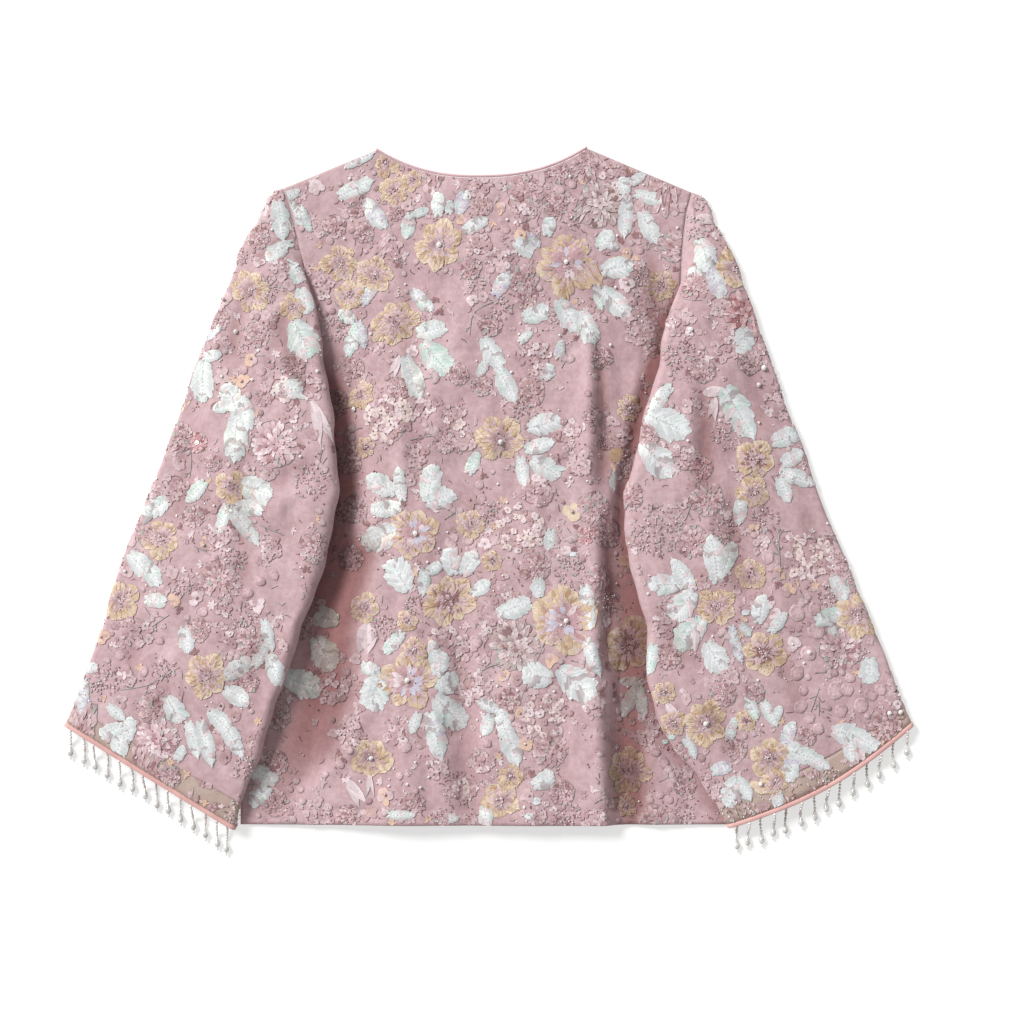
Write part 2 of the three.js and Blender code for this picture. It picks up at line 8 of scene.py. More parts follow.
import numpy as np
from mathutils import kdtree
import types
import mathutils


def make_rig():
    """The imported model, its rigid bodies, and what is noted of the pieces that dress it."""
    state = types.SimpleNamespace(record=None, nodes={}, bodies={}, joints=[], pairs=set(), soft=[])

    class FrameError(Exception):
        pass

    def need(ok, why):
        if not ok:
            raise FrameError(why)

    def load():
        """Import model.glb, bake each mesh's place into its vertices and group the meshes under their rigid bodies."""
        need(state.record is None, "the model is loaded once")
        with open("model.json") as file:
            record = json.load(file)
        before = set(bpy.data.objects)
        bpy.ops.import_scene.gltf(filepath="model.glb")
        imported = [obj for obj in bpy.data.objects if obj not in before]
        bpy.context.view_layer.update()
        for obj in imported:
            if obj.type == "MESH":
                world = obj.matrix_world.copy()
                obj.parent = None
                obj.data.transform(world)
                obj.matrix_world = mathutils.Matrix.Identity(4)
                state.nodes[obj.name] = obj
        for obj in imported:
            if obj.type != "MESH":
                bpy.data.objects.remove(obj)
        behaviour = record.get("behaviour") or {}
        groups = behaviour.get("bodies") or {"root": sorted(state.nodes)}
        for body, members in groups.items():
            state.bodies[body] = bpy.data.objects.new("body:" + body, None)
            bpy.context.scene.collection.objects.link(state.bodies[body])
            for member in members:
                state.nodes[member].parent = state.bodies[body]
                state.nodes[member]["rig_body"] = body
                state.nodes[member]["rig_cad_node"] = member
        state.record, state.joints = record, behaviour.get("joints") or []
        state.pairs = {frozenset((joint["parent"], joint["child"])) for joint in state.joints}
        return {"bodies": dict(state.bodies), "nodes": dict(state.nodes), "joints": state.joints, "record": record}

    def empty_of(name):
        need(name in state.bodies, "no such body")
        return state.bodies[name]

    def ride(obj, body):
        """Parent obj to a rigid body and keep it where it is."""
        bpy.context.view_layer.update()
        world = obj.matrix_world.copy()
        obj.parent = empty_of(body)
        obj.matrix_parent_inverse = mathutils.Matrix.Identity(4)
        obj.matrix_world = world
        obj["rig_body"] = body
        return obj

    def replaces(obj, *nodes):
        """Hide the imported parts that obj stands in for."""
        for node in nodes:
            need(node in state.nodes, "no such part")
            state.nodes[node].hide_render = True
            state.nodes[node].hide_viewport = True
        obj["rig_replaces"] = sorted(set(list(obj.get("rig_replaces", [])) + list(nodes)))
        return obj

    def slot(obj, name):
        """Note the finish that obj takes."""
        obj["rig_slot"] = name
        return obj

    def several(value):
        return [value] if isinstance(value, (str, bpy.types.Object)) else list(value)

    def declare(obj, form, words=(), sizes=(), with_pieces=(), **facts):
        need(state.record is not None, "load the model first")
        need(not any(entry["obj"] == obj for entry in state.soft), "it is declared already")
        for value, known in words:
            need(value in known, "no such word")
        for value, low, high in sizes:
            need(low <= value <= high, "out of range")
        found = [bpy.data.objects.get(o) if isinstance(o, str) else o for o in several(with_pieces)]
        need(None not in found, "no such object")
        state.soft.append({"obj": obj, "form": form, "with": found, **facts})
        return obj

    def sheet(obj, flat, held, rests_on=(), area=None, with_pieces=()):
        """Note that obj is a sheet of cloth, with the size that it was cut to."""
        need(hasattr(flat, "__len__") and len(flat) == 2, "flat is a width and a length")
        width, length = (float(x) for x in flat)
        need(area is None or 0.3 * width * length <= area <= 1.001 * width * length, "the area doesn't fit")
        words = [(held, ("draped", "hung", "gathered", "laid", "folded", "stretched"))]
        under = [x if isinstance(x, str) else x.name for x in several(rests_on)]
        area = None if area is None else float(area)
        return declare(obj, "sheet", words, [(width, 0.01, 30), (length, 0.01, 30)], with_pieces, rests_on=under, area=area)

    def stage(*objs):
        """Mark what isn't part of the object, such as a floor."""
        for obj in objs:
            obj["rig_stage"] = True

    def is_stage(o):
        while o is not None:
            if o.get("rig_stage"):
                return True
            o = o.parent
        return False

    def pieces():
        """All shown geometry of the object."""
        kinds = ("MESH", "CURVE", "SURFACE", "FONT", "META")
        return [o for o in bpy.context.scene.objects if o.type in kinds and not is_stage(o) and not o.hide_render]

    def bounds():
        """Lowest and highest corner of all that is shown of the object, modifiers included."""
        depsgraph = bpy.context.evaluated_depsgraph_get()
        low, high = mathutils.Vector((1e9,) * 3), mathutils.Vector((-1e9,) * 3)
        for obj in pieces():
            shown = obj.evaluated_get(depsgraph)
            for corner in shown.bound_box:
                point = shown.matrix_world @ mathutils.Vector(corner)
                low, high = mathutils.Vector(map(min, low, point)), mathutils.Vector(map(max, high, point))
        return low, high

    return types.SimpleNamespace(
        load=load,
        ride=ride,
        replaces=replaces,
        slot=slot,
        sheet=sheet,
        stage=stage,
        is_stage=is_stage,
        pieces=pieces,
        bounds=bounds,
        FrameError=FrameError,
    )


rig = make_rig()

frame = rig.load()
CAD_BOX = [[float(x) for x in corner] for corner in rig.bounds()]

# ------------------------------------------------------------------ named sizes
BODY_WALL = 1.5
STACK = 1.8
REST_GAP = 1.5
BODY_LOFT = 12.0
NECK_SETTLE = 0.45
SIDE_PLATEAU = 4.8
HEM_DEPTH = 13.0
SEAM_GAP = 0.3
CUFF_BINDING = 4.0
FRINGE_DROP = 26.0
NECK_BINDING = 2.4
FRONT_GAP = 2.0
FRONT_NECK_DROP = 84.0
NECK_L = (-100.3, 309.8)
NECK_R = (87.1, 311.5)
NECK_LOW = 285.1
HEM_Y = -284.2
CENTRE_TOP, CENTRE_HEM = -6.2, -1.8
SHIFT = np.array([0.07, 0.59, 0.0])
CLOTH = 0.9  # thickness of the visible cloth
FLOOR_CLEAR = 1.05  # cloth over the floor, room for the embroidery under it
LINING_END = 0.55
CLOSED_FROM = 8


def lin(r, g, b):
    c = np.array([r, g, b], float) / 255.0
    return np.where(c <= 0.04045, c / 12.92, ((c + 0.055) / 1.055) ** 2.4)


def px(u, v):
    """A place in the picture's frame, in mm before SHIFT."""
    return (u - 489.0) * 0.88, (502.0 - v) * 0.88


def rise(a, b, x):
    t = np.clip((np.asarray(x, float) - a) / (b - a), 0.0, 1.0)
    return t * t * (3 - 2 * t)


def lerp(a, b, t):
    return a + (b - a) * t


class Waves:
    """Smooth uneven field: a sum of sine waves in seeded directions."""

    def __init__(self, seed, wavelength, n=14):
        r = np.random.default_rng(seed)
        ang = r.uniform(0, 2 * math.pi, n)
        k = 2 * math.pi / (wavelength * r.uniform(0.65, 1.6, n))
        self.kx, self.ky, self.ph = k * np.cos(ang), k * np.sin(ang), r.uniform(0, 6.28, n)
        self.n = n

    def __call__(self, x, y):
        out = np.zeros_like(np.asarray(x, float))
        for a, b, p in zip(self.kx, self.ky, self.ph):
            out += np.sin(a * x + b * y + p)
        return out / math.sqrt(self.n / 2)


SOFT = Waves(3, 58.0)
PUCKER = Waves(5, 21.0)
FINE = Waves(8, 9.0)

# ------------------------------------------------------------- cut of the body
SIDES = np.array([
    [-219.1, -284.2, 216.5, -284.2], [-219.1, -271.2, 216.5, -271.2], [-219.1, -269.7, 216.5, -269.7],
    [-219.1, -234, 216.5, -234], [-219.1, -196, 216.5, -196], [-219.1, -156, 216.5, -156],
    [-219.1, -116, 216.5, -116], [-219.1, -76, 216.5, -76], [-219.1, -36, 216.5, -36],
    [-219.1, 6, 216.5, 6], [-219.1, 46, 216.5, 46], [-219.1, 85.4, 216.5, 85.4],
    [-184.8, 112.6, 188.3, 112.6], [-169.0, 144.3, 175.1, 142.6], [-162.8, 176.0, 169.0, 170.7],
    [-162.8, 204.2, 169.0, 195.4], [-166.3, 221.8, 169.8, 216.5], [-170.7, 241.1, 171.6, 237.6],
    [-176.0, 261.4, 174.2, 257.0], [-181.3, 276.3, 178.6, 272.8],
])
# name, x1, y1, x2, y2, width, height: the large folds of the frame's back
FOLDS = [
    (92, 180, 99, -300, 17, 4.5),
    (116, 150, 121, -300, 15, -3.2),
    (-62, 120, -70, -300, 30, 2.0),
    (-20, 60, -28, -300, 22, -1.8),
    (34, 90, 40, -300, 26, 1.6),
]
# Creases of the cloth itself, over those folds: the same columns.
BACK_CREASES = [
    (86, 158, 88, 6, 6.0, 1.8), (91, -10, 101, -300, 5.5, 2.0),
    (98, 152, 99, 4, 6.8, -4.6), (101, -8, 107, -150, 6.0, -5.4), (107, -156, 114, -300, 7.0, -1.6),
    (120, -24, 126, -300, 13, -7.0),
    (76, -150, 80, -300, 12, 1.5),
    (138, 210, 143, 150, 7, -3.0),
    (146, 236, 146, 96, 9, -4.2),
    (120, 214, 112, 96, 12, 1.7),
    (-71, 205, -64, -8, 9, -2.9),
    (-50, 118, -52, 24, 7, 1.2),
    (-25, -112, -17, -292, 12, -3.6), (-60, -186, -52, -276, 8, -1.5),
    (-9, -96, -4, -250, 8, 1.8),
    (-44, -150, -40, -280, 8, 1.6),
    (-88, 70, -92, -60, 7, -1.6),
    (40, 20, 46, -70, 8, 1.3),
    (8, 104, 20, 12, 9, -0.9),
    (60, -170, 71, -266, 9, -1.1),
    (-118, -170, -100, -262, 12, -1.6),
    (-96, -196, -84, -276, 6, 0.9),
    (-114, 192, -114, 108, 10, 1.5),
    (-84, 252, -40, 236, 9, -1.0),
    (58, 250, 92, 196, 8, 0.9),
    (30, -40, 52, -94, 10, 0.8),
    (-40, -30, -62, -86, 11, -0.9),
]


def edge_x(y, side):
    c = 0 if side == "left" else 2
    return np.interp(y, SIDES[:, c + 1], SIDES[:, c])


def shoulder_line(x):
    lx, ly, rx, ry = SIDES[-1]
    left = lerp(ly, NECK_L[1], (x - lx) / (NECK_L[0] - lx))
    right = lerp(ry, NECK_R[1], (x - rx) / (NECK_R[0] - rx))
    return np.minimum(left, right)


def along_fold(f, x, y):
    x1, y1, x2, y2, width, height = f
    dx, dy = x2 - x1, y2 - y1
    l2 = dx * dx + dy * dy
    t = ((x - x1) * dx + (y - y1) * dy) / l2
    off = ((x - x1) * dy - (y - y1) * dx) / math.sqrt(l2)
    return height * np.exp(-((off / width) ** 2)) * rise(-0.12, 0.18, t) * (1 - rise(1.0, 1.2, t))


def crease(f, x, y):
    """A soft crease that starts and ends gently and wanders a little."""
    x1, y1, x2, y2, width, height = f
    dx, dy = x2 - x1, y2 - y1
    length = math.hypot(dx, dy)
    t = ((x - x1) * dx + (y - y1) * dy) / length**2
    off = ((x - x1) * dy - (y - y1) * dx) / length
    off = off + 2.2 * np.sin(t * 5.1 + x1 * 0.37) * min(1.0, length / 120)
    w = width * (0.75 + 0.45 * np.clip(t, 0, 1.2))
    return height * np.exp(-((off / w) ** 2)) * rise(-0.1, 0.3, t) * (1 - rise(0.78, 1.1, t))


def back_under(x, y):
    from_side = np.minimum(x - edge_x(y, "left"), edge_x(y, "right") - x)
    from_shoulder = shoulder_line(x) - y
    z = BODY_LOFT * rise(22, 165, from_side) * rise(2, 80, from_shoulder) * (1 - NECK_SETTLE * rise(190, 300, y))
    reach = rise(30, 90, from_side) * rise(10, 80, from_shoulder)
    for f in FOLDS:
        z = z + along_fold(f, x, y) * reach
    return STACK + np.maximum(0, z)


def sleeve_under(x, y, side):
    inside = x - edge_x(y, "left") if side == "left" else edge_x(y, "right") - x
    below = 1 - rise(0, 24, HEM_Y - y)
    outside = SIDE_PLATEAU * rise(-36, -6, inside) * below
    over = np.maximum(SIDE_PLATEAU, back_under(x, y) + BODY_WALL + REST_GAP) * below
    return np.where(inside <= 0, outside, over)


# ---------------------------------------------------------------- the sleeves
SLEEVES = {
    "left": np.array([
        [-181.7, 276.4, -181.7, 276.4, -186.6, 274.6, 0, 0, 1.9, 0.3, 0],
        [-176.4, 261.3, -176.4, 261.3, -195.4, 265.8, 0, 0, 2.6, 1.2, 0],
        [-171.1, 241.0, -171.1, 241.0, -204.2, 246.4, 0, 0, 3.0, 2.8, 0],
        [-166.7, 221.8, -166.7, 221.8, -216.5, 227.9, 0, 0, 3.4, 4.4, 0],
        [-163.2, 204.2, -163.2, 204.2, -223.5, 205.9, 90, 3.4, 3.6, 4.6, 0],
        [-163.2, 176.0, -154.0, 177.8, -234.1, 178.6, 180, 4.2, 3.8, 4.4, 0],
        [-169.4, 144.5, -147.8, 146.1, -247.3, 147.0, 180, 6.4, 4.0, 4.4, 0],
        [-185.2, 112.9, -142.6, 112.6, -260.5, 114.4, 180, 7.8, 4.0, 4.6, 0],
        [-220.6, 86.4, -137.3, 79.2, -271.0, 81.0, 180, 8.5, 4.0, 5, 0],
        [-221.0, 45.8, -133.8, 45.8, -284.2, 45.8, 180, 8.8, 4.0, 5, 0],
        [-221.0, 11.0, -132.0, 10.6, -297.4, 12.3, 180, 9.0, 4.0, 5, 0],
        [-221.0, -24.6, -139.9, -30.8, -308.9, -16.7, 180, 9.0, 4.0, 5, 0],
        [-221.0, -61.3, -153.1, -72.2, -321.2, -45.8, 180, 8.8, 4.0, 5, 0],
        [-221.0, -98.7, -168.1, -114.4, -330.9, -75.7, 180, 8.4, 4.0, 5, 0],
        [-221.0, -137.9, -182.2, -156.6, -338.8, -105.6, 180, 7.8, 4.0, 4.8, 0],
        [-221.0, -189.5, -197.1, -199.8, -349.4, -134.6, 180, 7.0, 4.0, 4.6, 0],
        [-232.0, -230.2, -210.3, -241.1, -359.9, -164.6, 180, 5.8, 4.0, 4.2, 0],
        [-246.0, -270.8, -222.6, -285.1, -372.2, -193.6, 180, 4.6, 4.0, 3.6, 0],
    ]),
    "right": np.array([
        [179.0, 272.9, 179.0, 272.9, 184.2, 270.6, 0, 0, 1.9, 0.3, 0],
        [174.6, 256.9, 174.6, 256.9, 192.7, 263.1, 0, 0, 2.6, 1.2, 0],
        [172.0, 237.5, 172.0, 237.5, 199.6, 243.8, 0, 0, 3.0, 2.8, 0],
        [170.2, 216.5, 170.2, 216.5, 210.3, 226.2, 0, 0, 3.4, 4.4, 0],
        [169.4, 195.4, 169.4, 195.4, 221.8, 198.0, 90, 3.4, 3.6, 4.6, 0],
        [169.4, 170.7, 160.2, 170.7, 231.4, 170.7, 180, 4.2, 3.8, 4.4, 0],
        [175.5, 142.8, 152.2, 142.6, 241.1, 142.6, 180, 6.4, 4.0, 4.4, 0],
        [188.7, 112.9, 147.0, 112.6, 252.6, 112.6, 180, 7.4, 4.0, 4.6, 0],
        [218.0, 86.4, 138.2, 82.7, 261.4, 82.7, 180, 7.8, 4.0, 5, 0],
        [218.4, 49.3, 130.2, 49.3, 276.3, 49.3, 180, 8.0, 4.0, 5, 0],
        [218.4, 13.3, 121.4, 12.3, 287.8, 14.1, 180, 8.0, 4.0, 5, 0],
        [218.4, -22.1, 118.8, -29.9, 299.2, -15.8, 180, 7.8, 4.0, 5, 0],
        [218.4, -59.2, 128.5, -72.2, 312.4, -45.8, 180, 7.4, 4.0, 5, 0],
        [218.4, -97.4, 138.2, -114.4, 323.8, -75.7, 180, 7.0, 4.0, 5, 0],
        [218.4, -135.5, 139.9, -156.6, 336.2, -105.6, 180, 6.6, 4.0, 4.8, 1],
        [218.4, -177.2, 151.4, -198.9, 349.4, -135.5, 180, 6.2, 4.0, 4.6, 4],
        [218.4, -225.1, 183.0, -240.2, 359.0, -164.6, 180, 5.6, 4.0, 4.2, 7],
        [232.0, -271.0, 209.4, -283.4, 372.2, -193.6, 180, 4.6, 4.0, 3.6, 11],
    ]),
}
TUCK, INNER, TOP, OUTER, UNDER = 16, 14, 54, 10, 28
SUB = 8  # rows between two sections
SLEEVE_CREASES = {
    "left": [
        (-144, -33, -214, -241, 6, 2.0),
        (-150, 40, -196, 12, 8, -0.9), (-181, 174, -180, 130, 8, -1.7), (-178, 134, -156, 92, 8, -2.1),
        (-153, 12, -155, -62, 12, 1.6), (-213, 62, -217, -88, 8, -1.4), (-148, 18, -206, -18, 7, 1.3), (-150, -6, -186, -34, 7, -0.6),
        (-240, 150, -236, 70, 11, 1.2), (-214, 186, -226, 118, 8, -1.4), (-262, 60, -276, -20, 9, -1.2),
        (-250, -60, -296, -110, 10, 1.3), (-186, -120, -232, -168, 9, -1.4), (-300, -96, -322, -150, 8, -1.1),
        (-226, -196, -262, -236, 8, 1.0), (-280, -150, -298, -204, 9, -1.2), (-196, 84, -226, 40, 9, 0.9),
        (-166, -78, -204, -96, 8, 1.1), (-182, 232, -206, 208, 6, -0.8),
    ],
    "right": [
        (146, 60, 134, -40, 8, 1.4),
        (186, 108, 192, 8, 9, -2.2), (176, 96, 178, 0, 7, 1.2), (206, 10, 226, -84, 9, -2.0),
        (190, -6, 206, -70, 7, 1.2), (240, -20, 262, -112, 10, 1.4), (150, -92, 178, -150, 9, -1.3),
        (158, -132, 190, -196, 8, 1.2), (186, -176, 220, -222, 8, -1.5), (250, -120, 276, -196, 10, -1.3),
        (296, -90, 312, -148, 9, -1.1), (232, 130, 240, 60, 8, -1.1), (210, 204, 222, 150, 8, 1.0),
        (272, 0, 290, -44, 8, -0.9),
    ],
}


def sleeve_section(row, side, closed):
    sx, sy, ix, iy, ox, oy, turn, r, R, puff, bow = row
    ex, ey = ox - ix, oy - iy
    length = math.hypot(ex, ey)
    ex, ey = ex / length, ey / length
    dx, dy = (ey, -ex) if side == "left" else (-ey, ex)
    if dy > 0:
        dx, dy = -dx, -dy
    seam_a = (sx - ix) * ex + (sy - iy) * ey
    seam_p = (sx - ix) * dx + (sy - iy) * dy

    def place(a, pull):
        p = bow * math.sin(math.pi * min(1.0, max(0.0, a / length))) + seam_p * pull
        return ix + ex * a + dx * p, iy + ey * a + dy * p

    def under_at(a, pull):
        x, y = place(a, pull)
        return float(sleeve_under(x, y, side))

    flat = []
    top_r = 2 * R
    start_z = None
    if turn == 0:
        lead = min(15, length * 0.35)
        n = TUCK + INNER
        for k in range(n):
            a = lead * k / n
            w = a / (length - R)
            flat.append((a, lerp(STACK + BODY_WALL, top_r, w) + puff * math.sin(math.pi * w), 0))
        start_a = lead
    else:
        if turn == 90:
            z0 = STACK + BODY_WALL - 0.3
            zc = z0 + 3
            for k in range(TUCK):
                flat.append((0.0, lerp(z0, zc, k / TUCK), 0))
            bottom = math.pi / 2
        else:
            zc = under_at(r, 0) + r
            for k in range(TUCK):
                a = lerp(seam_a, r, k / TUCK)
                pull = 1 - k / TUCK
                z = STACK + BODY_WALL + 0.5 if not closed and k == 0 else under_at(a, pull)
                flat.append((a, z, pull))
            bottom = 0.0
        for k in range(INNER):
            phi = lerp(bottom, math.pi, k / INNER)
            flat.append((r - r * math.sin(phi), zc - r * math.cos(phi), 0))
        start_a = r
        start_z = zc + r
    for k in range(TOP):
        a = lerp(start_a, length - R, k / TOP)
        if start_z is None:
            w = a / (length - R)
            z = lerp(STACK + BODY_WALL, top_r, w) + puff * math.sin(math.pi * w)
        else:
            w = k / TOP
            z = top_r + (start_z - top_r) * (1 - w) ** 1.25 + puff * math.sin(math.pi * w)
        flat.append((a, z, 0))
    for k in range(OUTER):
        phi = math.pi * k / OUTER
        flat.append((length - R + R * math.sin(phi), R + R * math.cos(phi), 0))
    for k in range(UNDER + 1):
        a = lerp(length - R, seam_a, k / UNDER)
        pull = k / UNDER
        flat.append((a, under_at(a, pull) if closed else 0.0, pull))
    return np.array([[*place(a, p), z] for a, z, p in flat])


def through(rows, sub):
    """Smooth curves through the rows of a grid, sub steps between two."""
    n = len(rows)
    ext = np.concatenate([[2 * rows[0] - rows[1]], rows, [2 * rows[-1] - rows[-2]]])
    out = []
    for i in range(n - 1):
        p0, p1, p2, p3 = ext[i], ext[i + 1], ext[i + 2], ext[i + 3]
        for k in range(sub):
            t = k / sub
            out.append(0.5 * (2 * p1 + (p2 - p0) * t + (2 * p0 - 5 * p1 + 4 * p2 - p3) * t * t
                              + (3 * p1 - p0 - 3 * p2 + p3) * t**3))
    out.append(rows[-1])
    return np.array(out)


def normals(P, up_mask=None):
    dr, dc = np.gradient(P, axis=0), np.gradient(P, axis=1)
    N = np.cross(dc, dr)
    ln = np.linalg.norm(N, axis=2, keepdims=True)
    N = np.where(ln > 1e-9, N / np.maximum(ln, 1e-9), np.array([0, 0, 1.0]))
    if up_mask is not None and N[up_mask][:, 2].mean() < 0:
        N = -N
    return N


def smooth_rows(A, times=1):
    for _ in range(times):
        B = A.copy()
        B[1:-1] = 0.25 * A[:-2] + 0.5 * A[1:-1] + 0.25 * A[2:]
        A = B
    return A


# --------------------------------------------------------------- mesh helpers
def mesh_object(name, V, faces, mats, mat_index=None, tint=None, smooth=True, palette_map=False, fold=None):
    """V in mm; faces: a list of (n, k) index arrays."""
    faces = [np.asarray(f, np.int32) for f in faces if len(f)]
    used = np.unique(np.concatenate([f.ravel() for f in faces]))
    remap = np.full(len(V), -1, np.int32)
    remap[used] = np.arange(len(used))
    V = (np.asarray(V, float)[used] + SHIFT) / 1000.0
    faces = [remap[f] for f in faces]
    total = np.concatenate([np.full(len(f), f.shape[1], np.int32) for f in faces])
    loops = np.concatenate([f.ravel() for f in faces])
    start = np.concatenate([[0], np.cumsum(total)[:-1]]).astype(np.int32)
    me = bpy.data.meshes.new(name)
    me.vertices.add(len(V))
    me.vertices.foreach_set("co", V.astype(np.float32).ravel())
    me.loops.add(len(loops))
    me.loops.foreach_set("vertex_index", loops)
    me.polygons.add(len(total))
    me.polygons.foreach_set("loop_start", start)
    me.polygons.foreach_set("loop_total", total)
    for m in mats:
        me.materials.append(m)
    if mat_index is not None:
        me.polygons.foreach_set("material_index", np.asarray(mat_index, np.int32))
    me.polygons.foreach_set("use_smooth", np.full(len(total), smooth))
    me.update(calc_edges=True)
    if tint is not None:
        tint = np.clip(tint, 0, 1)
        col = np.ones((len(loops), 4), np.float32)
        col[:, :3] = np.repeat(tint, total, axis=0)
        layer = me.color_attributes.new("tint", "FLOAT_COLOR", "CORNER")
        layer.data.foreach_set("color", col.ravel())
    # painted fold shade: a value per point, kept on the mesh, that darkens the cloth's colour where it stands for shade
    if fold is not None:
        me.attributes.new("fold", "FLOAT", "POINT").data.foreach_set("value", np.clip(fold[used], 0, 1).astype(np.float32))
    if palette_map and tint is not None:
        # faces of one colour share one small square of the map
        q = np.round(tint ** (1 / 2.2) * 26).astype(np.int64)
        key = (q[:, 0] * 64 + q[:, 1]) * 64 + q[:, 2]
        if mat_index is not None:
            key = key * 8 + np.asarray(mat_index)
        cells, which = np.unique(key, return_inverse=True)
        side = int(math.ceil(math.sqrt(len(cells))))
        cell = 1.0 / side
        cx = (which % side) * cell
        cy = (which // side) * cell
        corner = np.array([[0.12, 0.12], [0.88, 0.12], [0.5, 0.88]]) * cell
        uv = np.empty((len(total), 3, 2), np.float32)
        uv[:, :, 0] = cx[:, None] + corner[None, :, 0]
        uv[:, :, 1] = cy[:, None] + corner[None, :, 1]
        me.uv_layers.new(name="OFBake").uv.foreach_set("vector", uv.ravel())
    ob = bpy.data.objects.new(name, me)
    bpy.context.scene.collection.objects.link(ob)
    return ob


def wall(outside, inside, wrap_from=None):
    R, C = outside.shape[:2]
    o = np.arange(R * C).reshape(R, C)
    n = o + R * C
    if wrap_from is not None:
        o[wrap_from:, -1] = o[wrap_from:, 0]
        n[wrap_from:, -1] = n[wrap_from:, 0]
    st = lambda *a: np.stack([x.ravel() for x in a], axis=1)
    quads = [
        st(o[:-1, :-1], o[:-1, 1:], o[1:, 1:], o[1:, :-1]),
        st(n[:-1, :-1], n[1:, :-1], n[1:, 1:], n[:-1, 1:]),
        st(o[0, :-1], n[0, :-1], n[0, 1:], o[0, 1:]),
        st(o[-1, :-1], o[-1, 1:], n[-1, 1:], n[-1, :-1]),
    ]
    e = R - 1 if wrap_from is None else wrap_from
    if e > 0:
        quads.append(st(o[:e, 0], o[1:e + 1, 0], n[1:e + 1, 0], n[:e, 0]))
        quads.append(st(o[:e, -1], n[:e, -1], n[1:e + 1, -1], o[1:e + 1, -1]))
    F = np.concatenate(quads)
    V = np.concatenate([outside.reshape(-1, 3), inside.reshape(-1, 3)])
    a, b, c, d = (V[F[:, k]] for k in range(4))
    vol = np.einsum("ij,ij->i", a, np.cross(b, c)).sum() + np.einsum("ij,ij->i", a, np.cross(c, d)).sum()
    if vol < 0:
        F = F[:, ::-1]
    area = (np.linalg.norm(np.cross(b - a, c - a), axis=1) + np.linalg.norm(np.cross(c - a, d - a), axis=1)).sum() / 2
    return V, F, area / 1e6


AREAS = {}


def shell(name, outside, inside, mats, wrap_from=None, fold=None):
    V, F, area = wall(outside, inside, wrap_from)
    AREAS[name] = round(area / 2, 4)
    return mesh_object(name, V, [F], mats, fold=None if fold is None else np.tile(fold.ravel(), 2))


def rod(path, radius, sides=10, closed=False, squash=1.0, ups=None):
    """A round rod along a path, closed at its ends."""
    path = np.asarray(path, float)
    n = len(path)
    tang = np.gradient(path, axis=0)
    if closed:
        tang = (np.roll(path, -1, 0) - np.roll(path, 1, 0)) / 2
    tang /= np.maximum(np.linalg.norm(tang, axis=1, keepdims=True), 1e-9)
    up = np.tile([0, 0, 1.0], (n, 1)) if ups is None else ups
    side = np.cross(tang, up)
    side /= np.maximum(np.linalg.norm(side, axis=1, keepdims=True), 1e-9)
    up = np.cross(side, tang)
    radius = np.broadcast_to(np.asarray(radius, float), (n,))
    a = np.arange(sides) / sides * 2 * math.pi
    V = (path[:, None, :] + radius[:, None, None] * (np.cos(a)[None, :, None] * side[:, None, :]
                                                     + squash * np.sin(a)[None, :, None] * up[:, None, :]))
    V = V.reshape(-1, 3)
    i = np.arange(n * sides).reshape(n, sides)
    j = np.roll(i, -1, axis=1)
    if closed:
        F = np.stack([i.ravel(), j.ravel(), np.roll(j, -1, 0).ravel(), np.roll(i, -1, 0).ravel()], 1)
        return V, F, None
    F = np.stack([i[:-1].ravel(), j[:-1].ravel(), j[1:].ravel(), i[1:].ravel()], 1)
    V = np.concatenate([V, path[:1], path[-1:]])
    a0, b0 = len(V) - 2, len(V) - 1
    T = np.concatenate([
        np.stack([j[0], i[0], np.full(sides, a0)], 1),
        np.stack([i[-1], j[-1], np.full(sides, b0)], 1),
    ])
    return V, F, T


